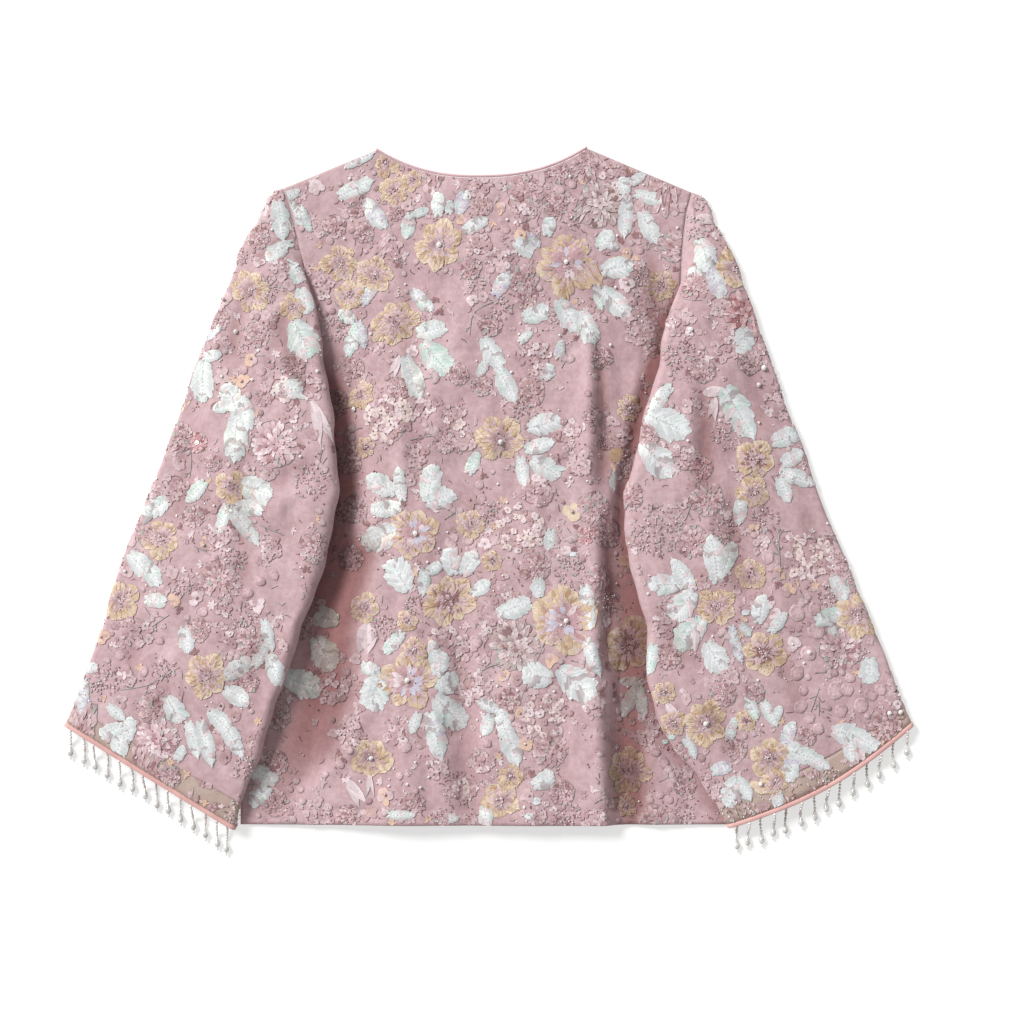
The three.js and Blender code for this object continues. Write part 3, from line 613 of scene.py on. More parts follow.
# ------------------------------------------------------------------ materials
class Nodes:
    def __init__(self, name):
        self.mat = bpy.data.materials.new(name)
        self.mat.use_nodes = True
        self.t = self.mat.node_tree
        self.t.nodes.clear()
        self.out = self.t.nodes.new("ShaderNodeOutputMaterial")
        self.bsdf = self.t.nodes.new("ShaderNodeBsdfPrincipled")
        self.t.links.new(self.bsdf.outputs[0], self.out.inputs[0])
        self.coord = None

    def node(self, kind, **props):
        n = self.t.nodes.new(kind)
        for k, v in props.items():
            setattr(n, k, v)
        return n

    def link(self, a, b):
        self.t.links.new(a, b)

    def place(self, scale=(1, 1, 1), rot=(0, 0, 0)):
        if self.coord is None:
            self.coord = self.node("ShaderNodeTexCoord")
        m = self.node("ShaderNodeMapping")
        m.inputs["Scale"].default_value = scale
        m.inputs["Rotation"].default_value = rot
        self.link(self.coord.outputs["Object"], m.inputs["Vector"])
        return m.outputs[0]

    def noise(self, scale, detail=2.0, rough=0.5, vec=None):
        n = self.node("ShaderNodeTexNoise")
        n.inputs["Scale"].default_value = scale
        n.inputs["Detail"].default_value = detail
        n.inputs["Roughness"].default_value = rough
        self.link(vec if vec is not None else self.place(), n.inputs["Vector"])
        return n.outputs["Fac"]

    def ramp(self, fac, stops):
        n = self.node("ShaderNodeValToRGB")
        e = n.color_ramp.elements
        while len(e) > 1:
            e.remove(e[-1])
        e[0].position, e[0].color = stops[0][0], (*[float(x) for x in stops[0][1]], 1)
        for p, c in stops[1:]:
            k = e.new(p)
            k.color = (*[float(x) for x in c], 1)
        self.link(fac, n.inputs[0])
        return n.outputs[0]

    def mix(self, fac, a, b, mode="MIX"):
        n = self.node("ShaderNodeMix", data_type="RGBA", blend_type=mode)
        for sock, val in ((n.inputs[0], fac), (n.inputs[6], a), (n.inputs[7], b)):
            if hasattr(val, "is_output"):
                self.link(val, sock)
            elif sock.type == "RGBA":
                sock.default_value = (*[float(x) for x in val], 1)
            else:
                sock.default_value = float(val)
        return n.outputs[2]

    def math(self, op, a, b=0.0):
        n = self.node("ShaderNodeMath", operation=op)
        for sock, val in ((n.inputs[0], a), (n.inputs[1], b)):
            if hasattr(val, "is_output"):
                self.link(val, sock)
            else:
                sock.default_value = float(val)
        return n.outputs[0]

    def bump(self, height, strength, distance):
        n = self.node("ShaderNodeBump")
        n.inputs["Strength"].default_value = strength
        n.inputs["Distance"].default_value = distance
        self.link(height, n.inputs["Height"])
        self.link(n.outputs[0], self.bsdf.inputs["Normal"])

    def set(self, **vals):
        for k, v in vals.items():
            s = self.bsdf.inputs[k.replace("_", " ")]
            if hasattr(v, "is_output"):
                self.link(v, s)
            elif s.type == "RGBA":
                s.default_value = (*[float(x) for x in v], 1)
            else:
                s.default_value = v


FOLD_SHADE_TINT = np.array([0.465, 0.295, 0.275])  # painted shade: the pink is multiplied by this at the bottom of a fold to stand for the shade there


def paint_fold_shade(m, base):
    """Painted shade: the pink turns deeper and redder where the mesh's painted shade value is high, in the dips and in
    bands beside the sleeves.
    """
    a = m.node("ShaderNodeAttribute", attribute_name="fold")
    return m.mix(a.outputs["Fac"], base, m.mix(1.0, base, FOLD_SHADE_TINT, "MULTIPLY"))


def net_over_lining():
    """Fine net stretched over a pink lining: a hexagonal mesh of 1.1 mm cells over soft satin."""
    m = Nodes("net over pink lining")
    soft = m.noise(22, 3, 0.55)
    base = m.ramp(soft, [(0.30, lin(192, 160, 165)), (0.55, lin(201, 171, 175)), (0.75, lin(210, 183, 187))])
    fleck = m.noise(210, 2, 0.6)
    base = m.mix(m.ramp(fleck, [(0.38, (0, 0, 0)), (0.62, (1, 1, 1))]), m.mix(1.0, base, lin(241, 234, 235), "MULTIPLY"), base)
    vor = m.node("ShaderNodeTexVoronoi", feature="DISTANCE_TO_EDGE")
    vor.inputs["Scale"].default_value = 900
    vor.inputs["Randomness"].default_value = 0.25
    m.link(m.place(), vor.inputs["Vector"])
    cell = m.ramp(vor.outputs["Distance"], [(0.02, (1, 1, 1)), (0.14, (0, 0, 0))])
    base = m.mix(m.math("MULTIPLY", cell, 0.16), base, lin(226, 204, 206))
    # painted shade in the folds and beside the sleeves
    base = paint_fold_shade(m, base)
    m.set(Base_Color=base, Roughness=m.math("ADD", m.math("MULTIPLY", fleck, 0.16), 0.55),
          Sheen_Weight=0.25, Sheen_Roughness=0.45, Specular_IOR_Level=0.35)
    m.bump(m.math("ADD", m.math("MULTIPLY", cell, 0.4), m.math("MULTIPLY", m.noise(70, 3), 0.9)), 0.35, 0.0005)
    return m.mat


def satin_lining():
    m = Nodes("pink satin lining")
    soft = m.noise(26, 3, 0.5)
    base = m.ramp(soft, [(0.3, lin(204, 150, 162)), (0.7, lin(218, 168, 178))])
    weave = m.node("ShaderNodeTexWave", wave_type="BANDS", bands_direction="DIAGONAL")
    weave.inputs["Scale"].default_value = 420
    weave.inputs["Distortion"].default_value = 1.2
    m.link(m.place(), weave.inputs["Vector"])
    base = m.mix(m.math("MULTIPLY", weave.outputs["Fac"], 0.12), base, lin(236, 196, 202))
    m.set(Base_Color=base, Roughness=m.math("ADD", m.math("MULTIPLY", soft, 0.2), 0.32),
          Sheen_Weight=0.15, Specular_IOR_Level=0.45)
    m.bump(weave.outputs["Fac"], 0.12, 0.0002)
    return m.mat


def sheer_net():
    """The net alone, past the end of the lining."""
    m = Nodes("sheer net")
    vor = m.node("ShaderNodeTexVoronoi", feature="DISTANCE_TO_EDGE")
    vor.inputs["Scale"].default_value = 760
    vor.inputs["Randomness"].default_value = 0.3
    m.link(m.place(), vor.inputs["Vector"])
    cell = m.ramp(vor.outputs["Distance"], [(0.03, (1, 1, 1)), (0.2, (0, 0, 0))])
    # The greyish beige is partly the net's own colour and partly painted shade: it stands for the shaded layer and
    # floor seen through the net.
    base = m.mix(cell, lin(196, 172, 161), lin(216, 196, 186))
    base = m.mix(m.math("MULTIPLY", m.noise(60, 3), 0.4), base, lin(196, 170, 160))
    m.set(Base_Color=base, Roughness=0.7, Alpha=0.72, Specular_IOR_Level=0.25)
    m.bump(cell, 0.3, 0.0004)
    return m.mat


def binding_cloth(name, low, high, line):
    m = Nodes(name)
    wave = m.node("ShaderNodeTexWave", wave_type="BANDS", bands_direction="DIAGONAL")
    wave.inputs["Scale"].default_value = 330
    wave.inputs["Distortion"].default_value = 0.8
    m.link(m.place(), wave.inputs["Vector"])
    soft = m.noise(45, 3, 0.5)
    base = m.ramp(soft, [(0.3, low), (0.7, high)])
    base = m.mix(m.math("MULTIPLY", wave.outputs["Fac"], 0.2), base, line)
    m.set(Base_Color=base, Roughness=m.math("ADD", m.math("MULTIPLY", soft, 0.25), 0.42),
          Sheen_Weight=0.2, Specular_IOR_Level=0.4)
    m.bump(wave.outputs["Fac"], 0.4, 0.0004)
    return m.mat


def stitched(name, rough, spec, coat=0.0, coat_rough=0.2, sheen=0.0, metallic=0.0, grain=500, dark=0.86, bump=0.35, film=0.0):
    """Embroidery: the motif's own colour, with the fine grain of its thread or foil."""
    m = Nodes(name)
    a = m.node("ShaderNodeAttribute", attribute_name="tint")
    g = m.noise(grain, 2, 0.6)
    base = m.mix(m.ramp(g, [(0.35, (0, 0, 0)), (0.65, (1, 1, 1))]), m.mix(1.0, a.outputs["Color"], (dark, dark, dark), "MULTIPLY"),
                 a.outputs["Color"])
    m.set(Base_Color=base, Roughness=m.math("ADD", m.math("MULTIPLY", g, 0.2), rough - 0.1),
          Specular_IOR_Level=spec, Coat_Weight=coat, Coat_Roughness=coat_rough, Sheen_Weight=sheen, Metallic=metallic)
    if film:
        m.set(Thin_Film_Thickness=film, Thin_Film_IOR=1.38)
    if bump:
        m.bump(g, bump, 0.0003)
    return m.mat


def crystal():
    m = Nodes("clear silver crystal")
    g = m.noise(260, 2, 0.5)
    base = m.ramp(g, [(0.3, lin(202, 199, 195)), (0.7, lin(240, 238, 235))])
    m.set(Base_Color=base, Roughness=m.math("ADD", m.math("MULTIPLY", g, 0.12), 0.06),
          Transmission_Weight=0.22, IOR=1.5, Specular_IOR_Level=0.7, Coat_Weight=0.5, Coat_Roughness=0.05)
    m.bump(m.noise(420, 1), 0.15, 0.0004)
    return m.mat


NET = net_over_lining()
LINING = satin_lining()
SHEER = sheer_net()
SALMON = binding_cloth("salmon binding", lin(216, 166, 161), lin(230, 184, 178), lin(202, 150, 146))
ROLL = binding_cloth("rolled pink edge", lin(206, 166, 172), lin(220, 184, 188), lin(190, 148, 154))
CRYSTAL = crystal()
SEQUIN = stitched("iridescent sequin leaf", 0.42, 0.5, coat=0.25, coat_rough=0.25, grain=620, dark=0.93, bump=0.25, film=420)
PETAL = stitched("thread and satin petal", 0.62, 0.4, sheen=0.3, grain=700, dark=0.84, bump=0.5)
THREAD = stitched("silver grey thread", 0.5, 0.5, metallic=0.15, grain=1500, dark=0.75, bump=0.6)
BEAD = stitched("pearls and beads", 0.26, 0.6, coat=0.6, coat_rough=0.12, grain=300, dark=0.95, bump=0.1)
EMBROIDERY = [SEQUIN, PETAL, THREAD, BEAD]


# ---------------------------------------------------------- embroidery shapes
# Each builder gives parts (V, F, C, M): points (x, y, height) in mm round the
# motif's own middle, triangles, a colour for each triangle and a material number.
WHITE, MINT, LAV = lin(229, 231, 234), lin(211, 228, 223), lin(216, 208, 224)
BLUSH, VEIN = lin(233, 214, 218), lin(186, 176, 180)
CREAM, CREAM_MID, OCHRE = lin(227, 205, 182), lin(213, 186, 158), lin(194, 161, 130)
DUST_LIT, DUST, DUST_DEEP = lin(215, 188, 191), lin(194, 160, 163), lin(158, 118, 120)
ROSE, ROSE_DEEP = lin(198, 138, 146), lin(164, 96, 104)
SPECK_RED = lin(140, 92, 90)
GREY, GREY_DARK = lin(176, 172, 168), lin(142, 136, 132)
PEARL, SILVER = lin(244, 236, 234), lin(214, 212, 208)
PEACH = lin(226, 192, 172)
SEQ, PET, THR, BED = 0, 1, 2, 3


def grid_faces(n, m):
    i = np.arange(n * m).reshape(n, m)
    a, b, c, d = i[:-1, :-1].ravel(), i[1:, :-1].ravel(), i[1:, 1:].ravel(), i[:-1, 1:].ravel()
    return np.concatenate([np.stack([a, b, c], 1), np.stack([a, c, d], 1)])


_GF = {}


def petals(x, y, ang, L, W, h0, h1, shape, m=3, arch=0.3, cup=0.2, ruffle=0.0, bend=0.0, rng=None):
    """Many petals at once; every argument but shape and m may be an array.
    Returns V, F, and for each face how far it is along and across its petal."""
    x = np.atleast_1d(np.asarray(x, float))
    k = len(x)
    full = lambda v: np.broadcast_to(np.asarray(v, float), (k,))
    y, ang, L, W, h0, h1, arch, cup, ruffle, bend = (full(v) for v in (y, ang, L, W, h0, h1, arch, cup, ruffle, bend))
    n = len(shape)
    t = np.linspace(0, 1, n)
    w = np.linspace(-1, 1, m)
    sh = np.asarray(shape, float)
    T = np.broadcast_to(t[:, None], (n, m))
    Wd = np.broadcast_to(w[None, :], (n, m))
    end = sh[:, None] * np.ones(m)[None, :]
    # the tip is rounded: outer columns stop a little earlier
    back = 0.10 * np.abs(Wd) ** 2 * T
    lx = (T - back)[None] * L[:, None, None]
    ly = (Wd * end)[None] * W[:, None, None] / 2
    hh = (h0[:, None, None] + (h1 - h0)[:, None, None] * T[None] + arch[:, None, None] * np.sin(math.pi * T)[None]
          + cup[:, None, None] * (np.abs(Wd) ** 1.5 * T)[None])
    if rng is not None:
        ph = rng.uniform(0, 6.28, k)
        hh = hh + ruffle[:, None, None] * np.sin(Wd[None] * 4.2 + ph[:, None, None] + T[None] * 3) * T[None]
    ly = ly + bend[:, None, None] * (T**2)[None] * L[:, None, None]
    ca, sa = np.cos(ang)[:, None, None], np.sin(ang)[:, None, None]
    V = np.stack([x[:, None, None] + lx * ca - ly * sa, y[:, None, None] + lx * sa + ly * ca, hh], -1).reshape(-1, 3)
    if (n, m) not in _GF:
        f = grid_faces(n, m)
        _GF[(n, m)] = (f, T.ravel()[f].mean(1), Wd.ravel()[f].mean(1))
    f, tf, wf = _GF[(n, m)]
    F = (f[None] + (np.arange(k) * n * m)[:, None, None]).reshape(-1, 3)
    return V, F, np.tile(tf, k), np.tile(wf, k), len(f)


def per_face(cols, nf):
    return np.repeat(np.atleast_2d(cols), nf, axis=0)


def vary(rng, C, amount=0.05):
    return np.clip(C * (1 + rng.normal(0, amount, (len(C), 1))), 0, 1)


ROUND = [0.45, 0.92, 1.0, 0.82, 0.34]
OVAL = [0.35, 0.9, 1.0, 0.3]
POINT = [0.5, 1.0, 0.75, 0.06]
BROAD = [0.55, 0.95, 1.0, 0.95, 0.62]


def bead(x, y, r, h=0.0, sides=6, col=PEARL, rng=None, mat=BED, flat=0.8):
    """A round bead that sits on the cloth."""
    x, y = np.atleast_1d(x).astype(float), np.atleast_1d(y).astype(float)
    k = len(x)
    r = np.broadcast_to(np.asarray(r, float), (k,))
    h = np.broadcast_to(np.asarray(h, float), (k,))
    a = np.arange(sides) / sides * 2 * math.pi
    rings = [(0.80, 0.18), (1.0, 0.95), (0.62, 1.68)] if sides > 5 else [(0.97, 0.25), (0.80, 1.35)]
    V = []
    for rr, zz in rings:
        V.append(np.stack([x[:, None] + r[:, None] * rr * np.cos(a), y[:, None] + r[:, None] * rr * np.sin(a),
                           h[:, None] + r[:, None] * zz * flat + 0 * a], -1))
    top = np.stack([x, y, h + r * 2.0 * flat], -1)[:, None]
    V = np.concatenate(V + [top], axis=1)
    i = np.arange(sides)
    j = (i + 1) % sides
    last = len(rings) - 1
    f = []
    for q in range(last):
        o = q * sides
        f += [np.stack([i + o, j + o, j + o + sides], 1), np.stack([i + o, j + o + sides, i + o + sides], 1)]
    f.append(np.stack([i + last * sides, j + last * sides, np.full(sides, len(rings) * sides)], 1))
    f = np.concatenate(f)
    F = (f[None] + (np.arange(k) * (len(rings) * sides + 1))[:, None, None]).reshape(-1, 3)
    cols = np.broadcast_to(np.atleast_2d(col), (k, 3))
    C = per_face(cols, len(f))
    if rng is not None:
        C = vary(rng, C, 0.03)
    return V.reshape(-1, 3), F, C, mat


def stem(points, r=0.42, h=0.35, col=GREY, rng=None, steps=3):
    """A corded thread along a smooth line of (x, y)."""
    P = np.asarray(points, float)
    if len(P) > 2:
        P = through(P, steps)
    else:
        P = lerp(P[0], P[1], np.linspace(0, 1, 4)[:, None])
    n = len(P)
    T = np.gradient(P, axis=0)
    T /= np.maximum(np.linalg.norm(T, axis=1, keepdims=True), 1e-6)
    N = np.stack([-T[:, 1], T[:, 0]], 1)
    prof = [(-1.0, 0.0), (-0.72, 0.85), (0.0, 1.2), (0.72, 0.85), (1.0, 0.0)]
    V = np.stack([np.concatenate([P + N * a * r, np.full((n, 1), h * 0.25 + b * r)], 1) for a, b in prof], 1)
    F = grid_faces(n, 5)
    C = per_face(col, len(F))
    if rng is not None:
        C = vary(rng, C, 0.12)
    return V.reshape(-1, 3), F, C, THR


def leaf(L, W, tint, rng, pale=1.0):
    """A leaf of slanting, overlapping sequins on both sides of a rib, tip towards +x."""
    n = int(np.clip(L / 2.7, 6, 12))
    t = (np.arange(n) + 0.4) / n
    half = W / 2 * 1.06 * np.sin(math.pi * np.clip(t * 0.90 + 0.06, 0, 1) ** 0.82) ** 0.85
    parts = []
    V, F, tf, wf, nf = petals([-L * 0.49], [0], [0.0], [L * 0.99], [W * 0.84], 0.32, 0.28, [0.18, 0.80, 1.0, 0.86, 0.5, 0.03], m=5, arch=0.22, cup=-0.2)
    C = per_face(lerp(tint, WHITE, 0.5) * 0.86 * pale, len(F))
    parts.append((V, F, vary(rng, C, 0.05), SEQ))
    for s in (1, -1):
        hw = half * rng.uniform(0.92, 1.08, n)
        ang = s * np.radians(58 - 28 * t + rng.normal(0, 5, n))
        ln = np.maximum(1.4, hw / np.abs(np.sin(ang))) * rng.uniform(0.90, 1.06, n)
        x0 = -L / 2 + t * L * 0.90 - 0.28 * ln
        V, F, tf, wf, nf = petals(x0, s * 0.2, ang, ln, L / n * 2.0, 0.62 + 0.06 * (np.arange(n) % 3), 0.5,
                                  [0.75, 1.0, 1.05, 0.60], m=3, arch=0.34 + 0.16 * rng.random(n), cup=-0.2)
        pick = rng.random(n)[:, None]
        base = np.where(pick < 0.26, tint, np.where(pick < 0.34, VEIN * 1.1, np.where(pick < 0.42, BLUSH, np.where(pick < 0.50, lerp(MINT, WHITE, 0.5), WHITE))))
        C = per_face(base, nf)
        shade = 1 - 0.17 * (wf * s > 0.2) - 0.10 * (tf < 0.2)
        parts.append((V, F, vary(rng, C * shade[:, None] * pale, 0.04), SEQ))
    V, F, tf, wf, nf = petals([L * 0.24], [0], [0.0], [L * 0.28], [W * 0.36], 0.75, 0.5, [0.7, 1.0, 0.55, 0.04], m=3, arch=0.3)
    parts.append((V, F, per_face(lerp(tint, WHITE, 0.6) * pale, len(F)), SEQ))
    k = max(3, int(L / 3.4))
    bx = np.linspace(-L / 2 + 1.2, L / 2 * 0.66, k)
    parts.append(bead(bx, rng.normal(0, 0.2, k), 0.40, 0.85, sides=5, col=lin(190, 178, 182), rng=rng))
    return parts


def blades(L, W, tint, rng):
    """A slim satin leaf of two long stitches groups."""
    parts = []
    for s in (1, -1):
        V, F, tf, wf, nf = petals([-L / 2], [0], [s * 0.05], [L * rng.uniform(0.9, 1.0)], [W * 0.62], 0.35, 0.4, [0.3, 0.95, 1.0, 0.7, 0.1], m=3, arch=0.4, bend=s * 0.10)
        C = per_face(tint if s > 0 else tint * 0.86, nf)
        parts.append((V, F, vary(rng, C, 0.05), PET))
    return parts


def thread_ring(R, rng, turn=5.2, col=GREY):
    """A wandering silver thread round a motif."""
    k = int(np.clip(R * 1.1, 9, 20))
    a = rng.uniform(0, 6.28) + np.linspace(0, turn, k)
    rr = R * (1 + 0.07 * np.sin(a * 5 + rng.uniform(0, 6)) + rng.normal(0, 0.015, k))
    return stem(np.stack([rr * np.cos(a), rr * np.sin(a)], 1), 0.34, 0.5, rng=rng, col=col, steps=1)


def ring_flower(R, rng, inner=DUST, pearl=True, warm=0.0, centre_dark=False, mix=0.22):
    """A cream ring of ruffled lobes, each a fan of short stitches, round pink ones."""
    parts = []
    # This value darkens the cream: a quarter for peach flowers, their own warmer tone, and fully for the flowers that
    # lie in shade, where it is painted shade.
    lit, mid, deep = CREAM * (1 - 0.08 * warm), CREAM_MID * (1 - 0.12 * warm), OCHRE * (1 - 0.15 * warm)
    n = int(rng.integers(5, 8))
    per = int(np.clip(R * 0.66, 6, 12))
    a0 = rng.uniform(0, 6.28)
    lobe_a = a0 + np.arange(n) / n * 2 * math.pi + rng.normal(0, 0.10, n)
    sizes = rng.uniform(0.76, 1.10, n)
    shy = rng.random(n)
    V, F, tf, wf, nf = petals(np.cos(lobe_a) * R * 0.34, np.sin(lobe_a) * R * 0.34, lobe_a, R * 0.64 * sizes, 2 * math.pi * R * 0.70 / n * sizes * 1.02,
                              0.32, 0.42, [0.6, 0.84, 1.0, 0.92, 0.45], m=7, arch=0.35, cup=0.05, ruffle=0.26, rng=rng)
    C = lerp(deep[None], per_face(np.where(rng.random((n, 1)) < 0.75, lit, mid), nf), np.clip(0.35 + tf, 0, 1)[:, None])
    parts.append((V, F, vary(rng, C, 0.05), PET))
    for ring, (r0, r1, share) in enumerate([(0.66, 0.97, 1.0), (0.48, 0.80, 0.85), (0.32, 0.60, 0.62)]):
        pp = max(4, int(per * share))
        d = (np.arange(pp) + 0.5) / pp - 0.5
        lobe = np.repeat(np.arange(n), pp)
        d = np.tile(d, n) + rng.normal(0, 0.03, n * pp)
        a = lobe_a[lobe] + d * 0.98 / n * 2 * math.pi + ring * 0.1
        size = sizes[lobe]
        dip = 1 - (0.34 - 0.06 * ring) * np.abs(2 * d) ** 1.9
        inner_r = R * r0 * size * dip * rng.uniform(0.95, 1.05, n * pp)
        L = R * (r1 - r0) * size * dip * rng.uniform(0.85, 1.15, n * pp)
        W = 2 * math.pi * R * (r0 + r1) / 2 / (n * pp) * rng.uniform(1.1, 1.8, n * pp)
        hh = 0.62 + 0.22 * ring + 0.25 * np.cos(d * math.pi) + rng.uniform(-0.1, 0.12, n * pp)
        V, F, tf, wf, nf = petals(np.cos(a) * inner_r, np.sin(a) * inner_r, a + d * 0.5 + rng.normal(0, 0.42, n * pp), L, W,
                                  hh, hh - 0.12, [0.7, 1.0, 0.9], m=3, arch=0.32, cup=-0.15)
        pick = 0.65 * rng.random((n * pp, 1)) + 0.35 * shy[lobe][:, None]
        more = mix + 0.13 * ring
        base = np.where(pick < more, DUST_LIT, np.where(pick < more + 0.06 * ring, inner, np.where(pick < more + 0.28, mid, np.where(pick < more + 0.38, deep, lit))))
        C = per_face(base, nf)
        C = lerp(C * lin(224, 208, 200), C, np.clip(0.2 + tf * 1.5, 0, 1)[:, None])
        parts.append((V, F, vary(rng, C, 0.07), PET))
    for r0, ln, hh, k, tones in ((0.16, 0.30, 1.0, int(np.clip(R * 1.1, 11, 24)), (inner, DUST_LIT)),
                                 (0.02, 0.20, 1.3, int(np.clip(R * 0.6, 7, 13)), (DUST_DEEP if centre_dark else inner * 0.9, DUST_LIT))):
        a = rng.uniform(0, 6.28) + np.arange(k) / k * 2 * math.pi + rng.normal(0, 0.12, k)
        V, F, tf, wf, nf = petals(np.cos(a) * R * r0, np.sin(a) * R * r0, a, R * ln * rng.uniform(0.8, 1.2, k), R * (0.16 if r0 > 0.1 else 0.12),
                                  hh, hh + 0.1, OVAL, m=3, arch=0.35, cup=0.1)
        C = per_face(np.where(rng.random((k, 1)) < 0.6, tones[0], tones[1]), nf) * (0.76 + 0.3 * tf)[:, None]
        parts.append((V, F, vary(rng, C, 0.07), PET))
    kk = int(rng.integers(6, 11))
    a, rr = rng.uniform(0, 6.28, kk), R * rng.uniform(0.02, 0.30, kk)
    cols = np.where(rng.random((kk, 1)) < 0.30, SPECK_RED, np.where(rng.random((kk, 1)) < 0.5, PEARL, DUST_LIT))
    parts.append(bead(np.cos(a) * rr, np.sin(a) * rr, rng.uniform(0.55, 0.95, kk), 1.3, sides=5, col=cols, rng=rng))
    k = int(R * 0.8) + 3
    a, rr = rng.uniform(0, 6.28, k), R * rng.uniform(0.45, 0.95, k)
    parts.append(bead(np.cos(a) * rr, np.sin(a) * rr, rng.uniform(0.4, 0.6, k), 0.9, sides=5, col=np.where(rng.random((k, 1)) < 0.5, PEARL, mid), rng=rng))
    if pearl:
        parts.append(bead([R * rng.normal(0, 0.03)], [R * rng.normal(0, 0.03)], min(2.3, R * 0.11), 1.3, sides=9, col=PEARL, rng=rng))
    return parts


def mum(R, rng, tone=DUST, edge=DUST_LIT, deep=DUST_DEEP):
    """A ruffled rosette of short round petals in rings, with specks at its heart."""
    parts = []
    for r0, r1, hh, k in ((0.60, 1.0, 0.3, int(R * 0.95) + 7), (0.38, 0.78, 0.62, int(R * 0.7) + 6), (0.18, 0.54, 0.92, int(R * 0.45) + 5),
                          (0.03, 0.30, 1.2, 6)):
        a = rng.uniform(0, 6.28) + np.arange(k) / k * 2 * math.pi + rng.normal(0, 0.09, k)
        L = R * (r1 - r0) * rng.uniform(0.80, 1.12, k)
        V, F, tf, wf, nf = petals(np.cos(a) * R * r0, np.sin(a) * R * r0, a + rng.normal(0, 0.16, k), L,
                                  2 * math.pi * R * (r0 + r1) / 2 / k * rng.uniform(0.95, 1.25, k), hh, hh + 0.12, [0.6, 1.0, 0.95, 0.55], m=3,
                                  arch=0.32, cup=0.30, ruffle=0.10, bend=rng.normal(0, 0.08, k), rng=rng)
        pick = rng.random((k, 1))
        base = np.where(pick < 0.36, edge, np.where(pick < 0.46, deep, np.where(pick < 0.52, GREY * 1.05, tone)))
        C = lerp(lerp(deep, tone, 0.4)[None], per_face(base, nf), 0.25 + 0.75 * np.clip(tf * 1.4, 0, 1)[:, None])
        C = C * (1 + 0.10 * (np.abs(wf) > 0.5))[:, None]
        parts.append((V, F, vary(rng, C, 0.06), PET))
    k = int(np.clip(R * 0.8, 5, 15))
    a = rng.uniform(0, 6.28, k)
    rr = R * np.sqrt(rng.random(k)) * 0.7
    cols = np.where(rng.random((k, 1)) < 0.35, SPECK_RED * 1.2, np.where(rng.random((k, 1)) < 0.5, PEARL, GREY))
    parts.append(bead(np.cos(a) * rr, np.sin(a) * rr, rng.uniform(0.4, 0.75, k), 1.0, sides=5, col=cols, rng=rng))
    if R > 9:
        parts.append(thread_ring(R * 0.98, rng))
    return parts


def seed_mum(R, rng):
    """A round head of seeds and specks, greyer, as a fan of small loops."""
    parts = []
    k = int(R * R * 0.22) + 14
    a, rr = rng.uniform(0, 6.28, k), R * np.sqrt(rng.random(k)) * 0.94
    V, F, tf, wf, nf = petals(np.cos(a) * rr, np.sin(a) * rr, a + rng.normal(0, 0.5, k), rng.uniform(2.2, 4.2, k), rng.uniform(1.3, 2.2, k),
                              0.35 + 0.6 * (1 - rr / R), 0.55, OVAL, m=3, arch=0.35)
    pick = rng.random((k, 1))
    base = np.where(pick < 0.48, DUST_LIT, np.where(pick < 0.64, GREY * 1.2, np.where(pick < 0.70, DUST_DEEP, DUST)))
    parts.append((V, F, vary(rng, per_face(base, nf) * (0.86 + 0.2 * tf)[:, None], 0.07), PET))
    k = int(R * R * 0.10) + 8
    a, rr = rng.uniform(0, 6.28, k), R * np.sqrt(rng.random(k)) * 0.9
    cols = np.where(rng.random((k, 1)) < 0.16, SPECK_RED * 1.3, np.where(rng.random((k, 1)) < 0.5, PEARL, GREY * 1.15))
    parts.append(bead(np.cos(a) * rr, np.sin(a) * rr, rng.uniform(0.45, 0.8, k), 0.95, sides=5, col=cols, rng=rng))
    return parts


def floret(x, y, r, rng, tone=DUST_LIT, heart=DUST_DEEP, k=5, h=0.35):
    a = rng.uniform(0, 6.28) + np.arange(k) / k * 2 * math.pi + rng.normal(0, 0.24, k)
    V, F, tf, wf, nf = petals(x + np.cos(a) * r * 0.02, y + np.sin(a) * r * 0.02, a, r * rng.uniform(0.66, 1.22, k), r * rng.uniform(0.66, 1.20, k), h + rng.uniform(-0.1, 0.1, k), h + 0.12,
                              [0.55, 1.0, 1.0, 0.72], m=3, arch=0.3, cup=0.22)
    each = np.where(rng.random((k, 1)) < 0.72, tone, np.where(rng.random((k, 1)) < 0.5, DUST, DUST_LIT))
    C = lerp(lerp(heart, tone, 0.58)[None], per_face(each, nf), np.clip(tf * 2.2, 0, 1)[:, None])
    out = [(V, F, vary(rng, C, 0.05), PET)]
    if rng.random() < 0.62:
        out.append(bead([x + r * rng.normal(0, 0.1)], [y + r * rng.normal(0, 0.1)], r * rng.uniform(0.14, 0.26), h + 0.1, sides=5,
                        col=PEARL if rng.random() < 0.25 else (GREY if rng.random() < 0.3 else lerp(heart, tone, rng.uniform(0.3, 0.9))), rng=rng))
    return out


def cluster(R, rng, tone=DUST_LIT, heart=DUST_DEEP, size=3.6):
    """A head of small four and five petalled florets."""
    parts, spots = [], []
    for _ in range(int(R * R * 1.4 / size / size * 3)):
        a, rr = rng.uniform(0, 6.28), R * math.sqrt(rng.random()) * 0.9
        x, y = math.cos(a) * rr, math.sin(a) * rr
        if all((x - p) ** 2 + (y - q) ** 2 > (size * 1.2) ** 2 for p, q in spots):
            spots.append((x, y))
            t = tone if rng.random() < 0.55 else (DUST if rng.random() < 0.6 else BLUSH)
            parts += floret(x, y, size * rng.uniform(0.85, 1.2), rng, t, heart, k=int(rng.integers(4, 6)), h=0.35 + 0.45 * (1 - rr / R))
    parts.append(thread_ring(R * 0.8, rng, 4.4, GREY if rng.random() < 0.6 else DUST_DEEP))
    return parts


